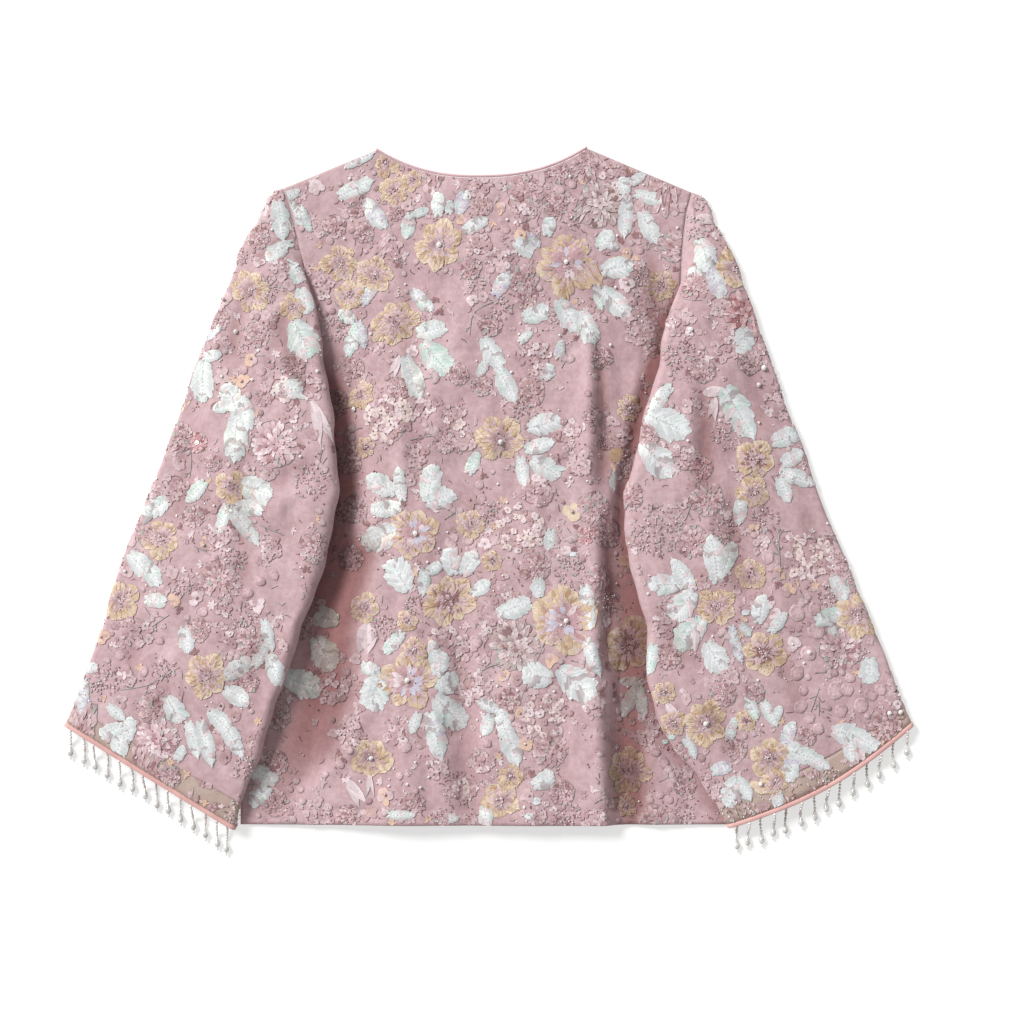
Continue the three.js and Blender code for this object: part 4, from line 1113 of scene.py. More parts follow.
def berry(x, y, r, rng, tone=None):
    """A flat padded disc with a raised rim stitch."""
    tone = DUST_LIT if tone is None else tone
    s = 12
    a = np.arange(s) / s * 2 * math.pi
    rings = [(1.0, 0.1), (0.96, 0.55), (0.78, 0.85), (0.55, 0.78), (0.25, 1.05)]
    turn, egg = rng.uniform(0, 6.28), rng.uniform(0.06, 0.2)
    wob = 1 + egg * np.cos(a - turn) - 0.5 * egg * np.cos(2 * (a - turn)) + rng.normal(0, 0.05, s)
    V = [np.stack([x + r * rr * np.cos(a) * wob, y + r * rr * np.sin(a) * wob, np.full(s, zz)], 1) for rr, zz in rings]
    V.append(np.array([[x, y, 1.1]]))
    V = np.concatenate(V)
    i, j, F, C = np.arange(s), (np.arange(s) + 1) % s, [], []
    # painted shade: the disc's outer wall is darkest and the groove inside the rim darker, standing for the shade round
    # and in the disc
    cols = [tone * 0.72, tone * 0.94, tone * 0.84, tone, tone * 0.97]
    for k in range(4):
        o = k * s
        F += [np.stack([i + o, j + o, j + o + s], 1), np.stack([i + o, j + o + s, i + o + s], 1)]
        c = per_face(cols[k], s) * (1 - 0.13 * (i % 2))[:, None] * (1 + 0.07 * np.cos(a - turn + 2))[:, None]
        C += [c, c]
    F.append(np.stack([i + 4 * s, j + 4 * s, np.full(s, 5 * s)], 1))
    C.append(per_face(cols[4], s))
    return [(V, np.concatenate(F), vary(rng, np.concatenate(C), 0.03), PET)]


def sprig(rng, n=4, R=13.0, tone=None):
    """Berries on thin silver stems that fan out from one foot."""
    parts = []
    a0 = rng.uniform(0, 6.28)
    for k in range(n):
        a = a0 + (k - (n - 1) / 2) * rng.uniform(0.38, 0.62)
        ln = R * rng.uniform(0.7, 1.1)
        x, y = math.cos(a) * ln, math.sin(a) * ln
        mid = (math.cos(a0) * ln * 0.45, math.sin(a0) * ln * 0.45)
        parts.append(stem([(-math.cos(a0) * R * 0.45, -math.sin(a0) * R * 0.45), (0, 0), mid, (x * 0.92, y * 0.92)], 0.38, rng=rng))
        parts += berry(x, y, rng.uniform(2.6, 4.0), rng, tone)
    return parts


def twig(points, rng, buds=True):
    """A twig along given points, with short side stitches and buds."""
    P = np.asarray(points, float)
    parts = [stem(P, 0.5, rng=rng, col=GREY)]
    Q = through(P, 3) if len(P) > 2 else lerp(P[0], P[1], np.linspace(0, 1, 6)[:, None])
    for i in range(1, len(Q) - 1, 2):
        d = Q[i + 1] - Q[i]
        a = math.atan2(d[1], d[0]) + (0.8 if (i // 2) % 2 else -0.8)
        ln = rng.uniform(3, 6)
        tip = Q[i] + ln * np.array([math.cos(a), math.sin(a)])
        parts.append(stem([Q[i], tip], 0.34, rng=rng, col=GREY_DARK))
        if buds and rng.random() < 0.7:
            V, F, tf, wf, nf = petals([tip[0]], [tip[1]], [a], [rng.uniform(2.4, 3.6)], [1.9], 0.35, 0.4, OVAL, m=3, arch=0.45)
            parts.append((V, F, vary(rng, per_face(DUST_LIT if rng.random() < 0.6 else GREY * 1.15, len(F)), 0.05), PET))
    return parts


def specks(rng, kind):
    """The small stitches between the flowers."""
    if kind < 0.34:
        k = int(rng.integers(3, 7))
        a = rng.uniform(0, 6.28) + np.arange(k) * rng.uniform(0.6, 1.1)
        V, F, tf, wf, nf = petals(np.zeros(k), np.zeros(k), a, rng.uniform(3.0, 5.4, k), rng.uniform(1.9, 3.0, k), 0.18, 0.35, [0.4, 1.0, 0.4], m=3, arch=0.35)
        pick = rng.random()
        tone = DUST_LIT if pick < 0.42 else (DUST if pick < 0.66 else (DUST_DEEP if pick < 0.8 else (BLUSH if pick < 0.92 else PEACH)))
        return [(V, F, vary(rng, per_face(tone, nf * k) * (0.85 + 0.25 * tf)[:, None], 0.06), PET)]
    if kind < 0.43:
        return floret(0, 0, rng.uniform(2.2, 3.6), rng, DUST_LIT if rng.random() < 0.6 else DUST, k=int(rng.integers(4, 6)), h=0.22)
    if kind < 0.53:
        return berry(0, 0, rng.uniform(2.0, 3.4), rng, DUST_LIT if rng.random() < 0.7 else DUST)
    if kind < 0.72:
        a, ln, c = rng.uniform(0, 6.28), rng.uniform(3, 7), rng.normal(0, 0.5)
        p = [(0, 0), (ln * 0.5 * math.cos(a), ln * 0.5 * math.sin(a)), (ln * math.cos(a + c), ln * math.sin(a + c))]
        return [stem(p, 0.36, rng=rng, col=GREY if rng.random() < 0.55 else DUST_DEEP, steps=2)]
    if kind < 0.93:
        k = int(rng.integers(1, 4))
        tone = SPECK_RED * 1.2 if rng.random() < 0.22 else (DUST_DEEP if rng.random() < 0.3 else (GREY if rng.random() < 0.4 else PEARL))
        return [bead(rng.normal(0, 1.8, k), rng.normal(0, 1.8, k), rng.uniform(0.5, 0.9, k), 0.1, sides=5, col=tone, rng=rng)]
    return [bead([0], [0], rng.uniform(0.8, 1.4), 0.1, sides=8, col=PEARL, rng=rng)]


# ------------------------------------------------------------ laying them out
class Batch:
    def __init__(self):
        self.V, self.F, self.C, self.M, self.cid, self.at, self.n = [], [], [], [], [], [], 0

    def add(self, parts, at, ang=0.0, lift=1.0):
        k = len(self.at)
        self.at.append(at)
        co, si = math.cos(ang), math.sin(ang)
        for V, F, C, M in parts:
            W = V.copy()
            W[:, 0], W[:, 1] = V[:, 0] * co - V[:, 1] * si, V[:, 0] * si + V[:, 1] * co
            W[:, 2] *= lift
            self.V.append(W)
            self.F.append(F + self.n)
            self.C.append(C)
            self.M.append(np.full(len(F), M))
            self.cid.append(np.full(len(V), k))
            self.n += len(V)

    def tris(self):
        return sum(len(f) for f in self.F)


class Panel:
    """A cloth surface that motifs are laid on by their place in plan."""

    def __init__(self, P, N, ref_col, rows=None, fold=None):
        self.P, self.N, self.fold = P, N, fold
        R, C = P.shape[:2]
        seg = np.linalg.norm(np.diff(P, axis=1), axis=2)
        S = np.concatenate([np.zeros((R, 1)), np.cumsum(seg, axis=1)], axis=1)
        self.S = S - S[:, ref_col:ref_col + 1]
        self.lo = math.floor(self.S.min()) - 1
        g = np.arange(self.lo, math.ceil(self.S.max()) + 2)
        self.inv = np.stack([np.interp(g, self.S[r], np.arange(C)) for r in range(R)])
        self.rows = rows or (0, R - 1)
        self.trees = {}

    def tree(self, key, mask):
        if key not in self.trees:
            r, c = np.nonzero(mask)
            t = kdtree.KDTree(len(r))
            for i, (a, b) in enumerate(zip(r, c)):
                t.insert((self.P[a, b, 0], self.P[a, b, 1], 0.0), i)
            t.balance()
            self.trees[key] = (t, r, c)
        return self.trees[key]

    def sample(self, r, s):
        R, C = self.P.shape[:2]
        r = np.clip(r, 0, R - 1.001)
        i = r.astype(int)
        fr = (r - i)[:, None]
        out = []
        k = np.clip(s - self.lo, 0, self.inv.shape[1] - 1.001)
        k0 = k.astype(int)
        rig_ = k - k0
        for ii in (i, i + 1):
            col = self.inv[ii, k0] * (1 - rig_) + self.inv[ii, k0 + 1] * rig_
            col = np.clip(col, 0, C - 1.001)
            c0 = col.astype(int)
            fc = (col - c0)[:, None]
            out.append((self.P[ii, c0] * (1 - fc) + self.P[ii, c0 + 1] * fc,
                        self.N[ii, c0] * (1 - fc) + self.N[ii, c0 + 1] * fc,
                        self.S[ii, 0], self.S[ii, -1], col))
        P = out[0][0] * (1 - fr) + out[1][0] * fr
        N = out[0][1] * (1 - fr) + out[1][1] * fr
        N /= np.maximum(np.linalg.norm(N, axis=1, keepdims=True), 1e-9)
        f = fr[:, 0]
        return P, N, out[0][2] * (1 - f) + out[1][2] * f, out[0][3] * (1 - f) + out[1][3] * f, out[0][4]

    def lay(self, batch, key, mask, name, margin=0.6, floor=0.05, within=14.0, cols=None):
        """Puts a batch of motifs on the cloth and makes the piece."""
        if not batch.V:
            return None
        tree, rr, cc = self.tree(key, mask)
        at = np.array([a[:2] for a in batch.at], float)
        r0, c0, off, far = [], [], [], []
        for x, y in at:
            co, i, d = tree.find((x, y, 0.0))
            r0.append(rr[i])
            c0.append(cc[i])
            off.append((x - co[0], y - co[1]))
            far.append(d > within)
        r0, c0, off, far = np.array(r0), np.array(c0), np.array(off), np.array(far)
        s0 = self.S[r0, c0]
        n = self.N[r0, c0]
        h = 0.75
        Pr = (self.sample(r0 + h, s0)[0] - self.sample(np.maximum(r0 - h, 0), s0)[0]) / (r0 + h - np.maximum(r0 - h, 0))[:, None]
        Ps = (self.sample(r0.astype(float), s0 + 1.0)[0] - self.sample(r0.astype(float), s0 - 1.0)[0]) / 2
        ex = np.array([1.0, 0, 0]) - n * n[:, :1]
        ex /= np.maximum(np.linalg.norm(ex, axis=1, keepdims=True), 1e-6)
        ey = np.cross(n, ex)
        ey *= np.where(ey[:, 1:2] < 0, -1, 1)
        V = np.concatenate(batch.V)
        F = np.concatenate(batch.F)
        C = np.concatenate(batch.C)
        M = np.concatenate(batch.M)
        cid = np.concatenate(batch.cid)
        d = V[:, :2] + off[cid]
        w = d[:, :1] * ex[cid] + d[:, 1:2] * ey[cid]
        a11 = (Pr * Pr).sum(1)[cid]
        a12 = (Pr * Ps).sum(1)[cid]
        a22 = (Ps * Ps).sum(1)[cid]
        b1 = (w * Pr[cid]).sum(1)
        b2 = (w * Ps[cid]).sum(1)
        det = np.maximum(a11 * a22 - a12 * a12, 1e-6)
        dr = (b1 * a22 - b2 * a12) / det
        ds = (a11 * b2 - a12 * b1) / det
        r = r0[cid] + dr
        s = s0[cid] + ds
        pos, nrm, smin, smax, col = self.sample(r, s)
        ok = (r >= self.rows[0]) & (r <= self.rows[1]) & (s >= smin + margin) & (s <= smax - margin) & ~far[cid]
        if cols:
            ok &= ((col >= cols[0]) | ((r < cols[2]) & (col >= 1))) & (col <= cols[1])
        out = pos + nrm * (V[:, 2:3] + 0.03)
        out[:, 2] = np.maximum(out[:, 2], floor)
        # painted shade: motifs lying in the shaded folds get their colours darkened by the cloth's painted fold shade
        if self.fold is not None:
            ri = np.clip(np.round(r), 0, self.fold.shape[0] - 1).astype(int)
            ci = np.clip(np.round(col), 0, self.fold.shape[1] - 1).astype(int)
            deep = (self.fold[ri, ci] * 0.92)[F[:, 0]]
            deep = np.round(deep * 6) / 6
            C = C * lerp(np.ones(3), FOLD_SHADE_TINT * np.array([0.82, 1.0, 1.05]), deep[:, None])
        keep = ok[F].all(axis=1)
        F, C, M = F[keep], C[keep], M[keep]
        if not len(F):
            return None
        e1, e2 = out[F[:, 1]] - out[F[:, 0]], out[F[:, 2]] - out[F[:, 0]]
        big = np.linalg.norm(np.cross(e1, e2), axis=1) > 1e-4
        F, C, M = F[big], C[big], M[big]
        # faces look outwards
        e1, e2 = out[F[:, 1]] - out[F[:, 0]], out[F[:, 2]] - out[F[:, 0]]
        flip = (np.cross(e1, e2) * nrm[F[:, 0]]).sum(1) < 0
        F[flip] = F[flip][:, ::-1]
        print(name, len(F), "triangles")
        return mesh_object(name, out, [F], EMBROIDERY, M, C, palette_map=True)


# ------------------------------------------------------------------ the back
SHOULDER_STEPS, NECK_STEPS = 6, 12
ACROSS = 2 * SHOULDER_STEPS + NECK_STEPS


def back_neck(w):
    w = np.asarray(w, float)
    drop = lerp(NECK_L[1], NECK_R[1], 0.5) - NECK_LOW
    return np.stack([lerp(NECK_L[0], NECK_R[0], w), lerp(NECK_L[1], NECK_R[1], w) - drop * (1 - np.abs(2 * w - 1) ** 2.3)], -1)


def top_edge(j):
    lx, ly, rx, ry = SIDES[-1]
    if j <= SHOULDER_STEPS:
        t = j / SHOULDER_STEPS
        return np.array([lerp(lx, NECK_L[0], t), lerp(ly, NECK_L[1], t)])
    if j >= SHOULDER_STEPS + NECK_STEPS:
        t = (j - SHOULDER_STEPS - NECK_STEPS) / SHOULDER_STEPS
        return np.array([lerp(NECK_R[0], rx, t), lerp(NECK_R[1], ry, t)])
    return back_neck((j - SHOULDER_STEPS) / NECK_STEPS)


def back_plan():
    seg = np.hypot(np.diff(SIDES[:, 0]), np.diff(SIDES[:, 1]))
    run = np.concatenate([[0], np.cumsum(seg)])
    total = run[-1]
    sides, ts = [], []
    arm = SIDES[11:]
    arm_fine = through(arm, 10)
    for i in range(11):
        n = max(1, int(round(seg[i] / 3.4)))
        for k in range(n):
            sides.append(lerp(SIDES[i], SIDES[i + 1], k / n))
            ts.append(lerp(run[i], run[i + 1], k / n) / total)
    for i in range(len(arm_fine)):
        j = i / 10
        a = int(min(j, len(arm) - 2))
        sides.append(arm_fine[i])
        ts.append(lerp(run[11 + a], run[12 + a], j - a) / total)
    cols = ACROSS * 5
    top = np.array([top_edge(j / 5) for j in range(cols + 1)])
    s = np.linspace(0, 1, cols + 1)[:, None]
    low = lerp(SIDES[0][:2], SIDES[0][2:], s)
    corner_top = lerp(SIDES[-1][:2], SIDES[-1][2:], s)
    grid = []
    for row, t in zip(sides, ts):
        across = lerp(row[:2], row[2:], s)
        corners = lerp(low, corner_top, t)
        grid.append(across + lerp(low, top, t) - corners)
    return np.array(grid)


def inner_fold(y, side):
    """x of the sleeve's edge over the body, at height y of the picture."""
    t = SLEEVES[side]
    return np.interp(y, t[::-1, 3], t[::-1, 2])


plan = back_plan()
X, Y = plan[..., 0], plan[..., 1]
under = back_under(X, Y)
clear_l, clear_r = X - inner_fold(Y, "left"), inner_fold(Y, "right") - X
shown = rise(-12, 10, clear_l) * rise(-12, 10, clear_r)
neck_y = np.interp(X, back_neck(np.linspace(0, 1, 60))[:, 0], back_neck(np.linspace(0, 1, 60))[:, 1])
top_y = np.where((X > NECK_L[0]) & (X < NECK_R[0]), neck_y, shoulder_line(X))
from_top = np.maximum(0, top_y - Y)
detail = 0.55 * SOFT(X, Y) + 0.30 * PUCKER(X, Y) + 0.12 * FINE(X, Y)
for f in BACK_CREASES:
    detail = detail + crease(f, X, Y)
hem_band = 0.55 * (1 - rise(HEM_Y + HEM_DEPTH - 0.8, HEM_Y + HEM_DEPTH + 0.8, Y))
hem_line = -0.32 * np.exp(-(((Y - HEM_Y - HEM_DEPTH - 0.4) / 1.3) ** 2))
# painted shade in the dips of the creases: how much darker each dip is painted
dip = sum(np.maximum(0, -crease(f, X, Y)) / 7.0 * (1.0 if f[5] < -4 else 0.75) for f in BACK_CREASES if f[5] < 0) * rise(0, 16, from_top)
detail = detail * shown * rise(0, 16, from_top)
# how far the valley beside the left sleeve reaches over the body, widest low down
valley = np.interp(Y, [-290, -253, -218, -183, -148, -113, -77, -42, 0], [38, 56, 76, 78, 70, 58, 52, 50, 33])
gutter = -10.5 * np.exp(-(((clear_l - 7) / (15 + 0.42 * np.maximum(0, valley - 30))) ** 2)) * rise(165, 90, Y) * rise(-310, -230, Y)
gutter = gutter + 2.4 * np.exp(-(((clear_l - 1.06 * valley) / 8) ** 2)) * rise(-30, -90, Y) * rise(-290, -240, Y)
gutter = gutter - 6.5 * np.exp(-(((clear_r - 4) / (6.5 + 4.5 * rise(-20, -80, Y))) ** 2)) * rise(215, 150, Y) * rise(-300, -220, Y)
detail = detail + gutter
# painted shade on the back: darker in the creases' dips, in bands beside both sleeves where they shade the body, and in
# a low band at the right
back_fold_shade = np.clip(np.maximum(dip * shown, 0) + 1.35 * np.exp(-(((clear_l - 1) / 18) ** 2)) * rise(160, 80, Y) * (1 - 0.88 * rise(-62, -150, Y))
                    + 0.9 * np.exp(-(((clear_r + 1) / (8 + 5 * rise(-20, -80, Y))) ** 2)) * rise(225, 160, Y) * (1 - 0.45 * rise(-120, -260, Y))
                    + 0.95 * np.exp(-(((clear_r - 4) / 8) ** 2)) * rise(135, 108, Y) * (1 - rise(62, 34, Y))
                    + 0.6 * np.exp(-(((clear_r - 1) / 3.5) ** 2)) * rise(200, 150, Y) * (1 - rise(-60, -110, Y))
                    + 0.40 * np.exp(-(((X - 134) / 15) ** 2)) * rise(-170, -215, Y), 0, 1)
# painted shade across the valley beside the left sleeve, from the middle of the back down
valley_shade = (1 - rise(0.66, 1.12, clear_l / valley)) * np.interp(Y, [-292, -253, -218, -183, -148, -113], [0.12, 0.42, 0.80, 0.96, 1.0, 1.0])
valley_shade = valley_shade * (1 - 0.75 * rise(-72, -150, Y) * (1 - rise(0.05, 0.42, clear_l / valley)))
back_fold_shade = np.maximum(back_fold_shade, valley_shade * rise(-4, -42, Y) * shown)
settle = 0.3 * (1 - rise(0, 5, from_top))
back_low = np.stack([X, Y, np.maximum(STACK - 0.2, under + 0.45 + detail - settle)], -1)
back_high = back_low + np.array([0, 0, CLOTH])
back_high[..., 2] += hem_band + hem_line * shown
back = shell("back_cloth", back_high, back_low, [NET], fold=back_fold_shade)
back_N = normals(back_high)
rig.replaces(back, "back")

# ---------------------------------------------------------------- the fronts


def front_neck(w, side):
    sx, sy = NECK_L if side == "left" else NECK_R
    end_x = CENTRE_TOP + (-FRONT_GAP / 2 if side == "left" else FRONT_GAP / 2)
    a = np.asarray(w, float) * math.pi / 2
    return np.stack([lerp(sx, end_x, 1 - np.cos(a)), sy - FRONT_NECK_DROP * np.sin(a)], -1)


front_panels = {}
for side in ("left", "right"):
    sign = -1 if side == "left" else 1
    c = 0 if side == "left" else 2
    curve = front_neck(np.linspace(1, 0, 60), side)
    tip_x, tip_y = SIDES[-1][c], SIDES[-1][c + 1]
    neck_x, neck_top = curve[-1]
    ys = np.concatenate([np.arange(HEM_Y, tip_y, 5.5), np.linspace(tip_y, neck_top - 0.3, 9)])
    rows = []
    for y in ys:
        outer = edge_x(y, side) if y <= tip_y else lerp(tip_x, neck_x, (y - tip_y) / (neck_top - tip_y))
        if y <= curve[0][1]:
            t = (y - HEM_Y) / (curve[0][1] - HEM_Y)
            inner = lerp(CENTRE_HEM, CENTRE_TOP, t) + sign * FRONT_GAP / 2
        else:
            inner = np.interp(y, curve[:, 1], curve[:, 0])
        rows.append(np.stack([np.linspace(outer, inner, 49), np.full(49, y)], -1))
    g = np.array(rows)
    if side == "right":
        g = g[:, ::-1]
    gx, gy = g[..., 0], g[..., 1]
    low_z = 0.62 + 0.10 * PUCKER(gx, gy) + 0.05 * FINE(gx, gy)
    low = np.stack([gx, gy, np.maximum(0.45, low_z)], -1)
    high = low + np.array([0, 0, 0.8])
    front = shell("front_" + side + "_cloth", high, low, [NET])
    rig.replaces(front, "front_" + side)
    front_panels[side] = (front, low, -normals(low))

# ------------------------------------------------------------- neck bindings


def neck_roll(name, node, edge, z):
    d = np.gradient(edge, axis=0)
    d /= np.linalg.norm(d, axis=1, keepdims=True)
    nrm = np.stack([-d[:, 1], d[:, 0]], 1)
    if node.endswith("back"):
        if nrm[:, 1].mean() < 0:
            nrm = -nrm
    else:
        to = 1 if node.endswith("left") else -1
        if (nrm @ np.array([to, 0.6])).mean() < 0:
            nrm = -nrm
    path = np.concatenate([edge + nrm * (SEAM_GAP + NECK_BINDING / 2), z[:, None]], 1)
    r = 1.12 + 0.07 * np.sin(np.arange(len(path)) * 0.9) * np.sin(np.arange(len(path)) * 0.31)
    V, F, T = rod(path, r, sides=12, squash=0.82)
    ob = mesh_object(name, V, [F, T], [ROLL])
    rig.replaces(ob, node)
    return ob


w = np.linspace(0, 1, 121)
edge = back_neck(w)
neck_back = neck_roll("neck_binding_back_roll", "neck_binding_back", edge, back_under(edge[:, 0], edge[:, 1]) + 0.95)
neck_left = neck_roll("neck_binding_front_left_roll", "neck_binding_front_left", front_neck(np.linspace(0, 1, 81), "left"), np.full(81, 0.98))
neck_right = neck_roll("neck_binding_front_right_roll", "neck_binding_front_right", front_neck(np.linspace(0, 1, 81), "right"), np.full(81, 0.98))

# ---------------------------------------------------------------- the sleeves
T0, T1 = TUCK + INNER, TUCK + INNER + TOP
sleeves = {}
for side in ("left", "right"):
    table = SLEEVES[side]
    P = np.array([sleeve_section(row, side, i >= CLOSED_FROM) for i, row in enumerate(table)])
    P = through(P, SUB)
    R, C = P.shape[:2]
    wf = CLOSED_FROM * SUB
    # the closed tube meets itself at the underarm seam
    seam = 0.5 * (P[wf:, 0] + P[wf:, -1])
    P[wf:, 0] = seam
    P[wf:, -1] = seam
    # the layer under the arm lies over the body, clear of it
    ride_z = sleeve_under(P[..., 0], P[..., 1], side)
    cols = np.arange(C)
    lower = (cols < TUCK)[None, :] | (cols >= T1 + OUTER)[None, :]
    lower = lower & (np.arange(R) >= wf - 2)[:, None]
    P[..., 2] = np.where(lower, np.maximum(P[..., 2], ride_z + 0.1), P[..., 2])
    # creases of the top layer, and painted shade in their dips
    wtop = np.clip((cols - (T0 - 5)) / 9.0, 0, 1) * np.clip((T1 + 3 - cols) / 8.0, 0, 1)
    wtop = (wtop * wtop * (3 - 2 * wtop))[None, :]
    down = rise(0, 10, np.arange(R))[:, None] * (1 - 0.5 * rise(R - 12, R - 1, np.arange(R)))[:, None]
    d = 0.50 * SOFT(P[..., 0] + 300, P[..., 1]) + 0.28 * PUCKER(P[..., 0] + 300, P[..., 1]) + 0.10 * FINE(P[..., 0], P[..., 1])
    dip = np.zeros_like(d)
    for f in SLEEVE_CREASES[side]:
        c = crease(f, P[..., 0], P[..., 1])
        d = d + c
        dip = dip + np.maximum(0, -c) / 3.2
    sleeve_fold_shade = np.clip(dip * wtop * down, 0, 0.6)
    P[..., 2] += d * wtop * down
    # the fold over the body wavers as soft cloth does
    wfold = np.exp(-(((cols - (TUCK + INNER * 0.6)) / 7.0) ** 2))[None, :] * rise(30, 60, np.arange(R))[:, None]
    sgn = 1 if side == "left" else -1
    P[..., 0] += sgn * wfold * (0.9 * np.sin(P[..., 1] * 0.083 + 1.0) + 0.6 * np.sin(P[..., 1] * 0.19))
    if side == "left":
        lower_arm = rise(0, -50, P[..., 1]) * rise(-262, -225, P[..., 1])
        P[..., 0] += 3.2 * wfold * lower_arm
        P[..., 2] += 0.9 * np.exp(-(((cols - (TUCK + INNER * 0.85)) / 3.5) ** 2))[None, :] * lower_arm
    # room for the embroidery between the cloth and the floor
    low_z = FLOOR_CLEAR + 0.12 * PUCKER(P[..., 0], P[..., 1])
    P[..., 2] = np.where(P[..., 2] < low_z + 1.0, low_z + 0.5 * (np.maximum(P[..., 2], 0) ** 2) / (low_z + 1.0) * 1.0, P[..., 2])
    top_mask = np.zeros((R, C), bool)
    top_mask[2:, T0 + 2:T1 - 2] = True
    N = normals(P, top_mask)
    cut = 16 * SUB + LINING_END * SUB
    i = int(cut)
    cut_row = lerp(P[i], P[i + 1], cut - i)
    cut_n = lerp(N[i], N[i + 1], cut - i)
    cloth_P = np.concatenate([P[:i + 1], cut_row[None]])
    cloth_N = np.concatenate([N[:i + 1], cut_n[None]])
    # the painted shade goes with the part of the sleeve that has the lining
    cloth_fold_shade = np.concatenate([sleeve_fold_shade[:i + 1], sleeve_fold_shade[i][None]])
    ob = shell("sleeve_" + side + "_cloth", cloth_P, cloth_P - cloth_N * CLOTH, [NET], wf, cloth_fold_shade)
    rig.replaces(ob, "sleeve_" + side)
    end_P = np.concatenate([cut_row[None], P[i + 1:]])
    end_N = np.concatenate([cut_n[None], N[i + 1:]])
    sheer = shell("sleeve_" + side + "_sheer_end", end_P - end_N * 0.05, end_P - end_N * 0.5, [SHEER], 0)
    lin_P = cloth_P[(CLOSED_FROM + 1) * SUB:]
    lin_N = cloth_N[(CLOSED_FROM + 1) * SUB:]
    lin_P, lin_N = lin_P[:, ::2] if lin_P.shape[1] % 2 else lin_P, lin_N[:, ::2] if lin_N.shape[1] % 2 else lin_N
    lining = shell("sleeve_lining_" + side + "_cloth", lin_P - lin_N * 1.5, lin_P - lin_N * 2.1, [LINING], 0)
    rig.replaces(lining, "sleeve_lining_" + side)
    # binding
    cuff = table[-1]
    el = math.hypot(cuff[4] - cuff[2], cuff[5] - cuff[3])
    ax, ay = (cuff[4] - cuff[2]) / el, (cuff[5] - cuff[3]) / el
    out = (ay, -ax) if side == "left" else (-ay, ax)
    if out[1] > 0:
        out = (-out[0], -out[1])
    away = np.array([out[0], out[1], 0.0])
    last, last_n = P[-1], N[-1]
    flat_n = last_n - (last_n @ away)[:, None] * away
    flat_n /= np.linalg.norm(flat_n, axis=1, keepdims=True)
    outside, inside = [], []
    for dd, bulge in ((0.1, -0.1), (0.5, 0.35), (1.4, 0.62), (2.5, 0.66), (3.5, 0.45), (4.1, 0.05)):
        q = last + away * dd + flat_n * bulge
        q[:, 2] = np.maximum(q[:, 2], 0.15)
        outside.append(q)
        inside.append(last + away * dd - flat_n * (0.75 + 0.45 * bulge))
    outside, inside = np.array(outside), np.array(inside)
    binding = shell("cuff_binding_" + side + "_roll", outside, inside, [SALMON], 0)
    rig.replaces(binding, "cuff_binding_" + side)
    sleeves[side] = dict(cloth=ob, sheer=sheer, lining=lining, binding=binding, P=P, N=N, fold=sleeve_fold_shade, away=away, last=last, normal=flat_n)

# ------------------------------------------------------------ the bead fringe


def ball_template(sides, rings):
    V, F = [], []
    for k in range(1, rings):
        p = math.pi * k / rings
        for s in range(sides):
            a = 2 * math.pi * s / sides
            V.append((math.sin(p) * math.cos(a), math.sin(p) * math.sin(a), math.cos(p)))
    V += [(0, 0, 1), (0, 0, -1)]
    top, bottom = len(V) - 2, len(V) - 1
    for s in range(sides):
        t = (s + 1) % sides
        F.append((top, s, t))
        for k in range(rings - 2):
            a, b = k * sides, (k + 1) * sides
            F += [(a + s, b + s, b + t), (a + s, b + t, a + t)]
        F.append(((rings - 2) * sides + t, (rings - 2) * sides + s, bottom))
    return np.array(V), np.array(F)


SEED_V, SEED_F = ball_template(8, 5)
END_V, END_F = ball_template(10, 7)
DROP = [(0.0, 0.25), (0.7, 0.75), (1.9, 1.15), (3.4, 1.65), (5.2, 2.25), (6.9, 2.55), (8.4, 2.40), (9.6, 1.55), (10.2, 0.55)]


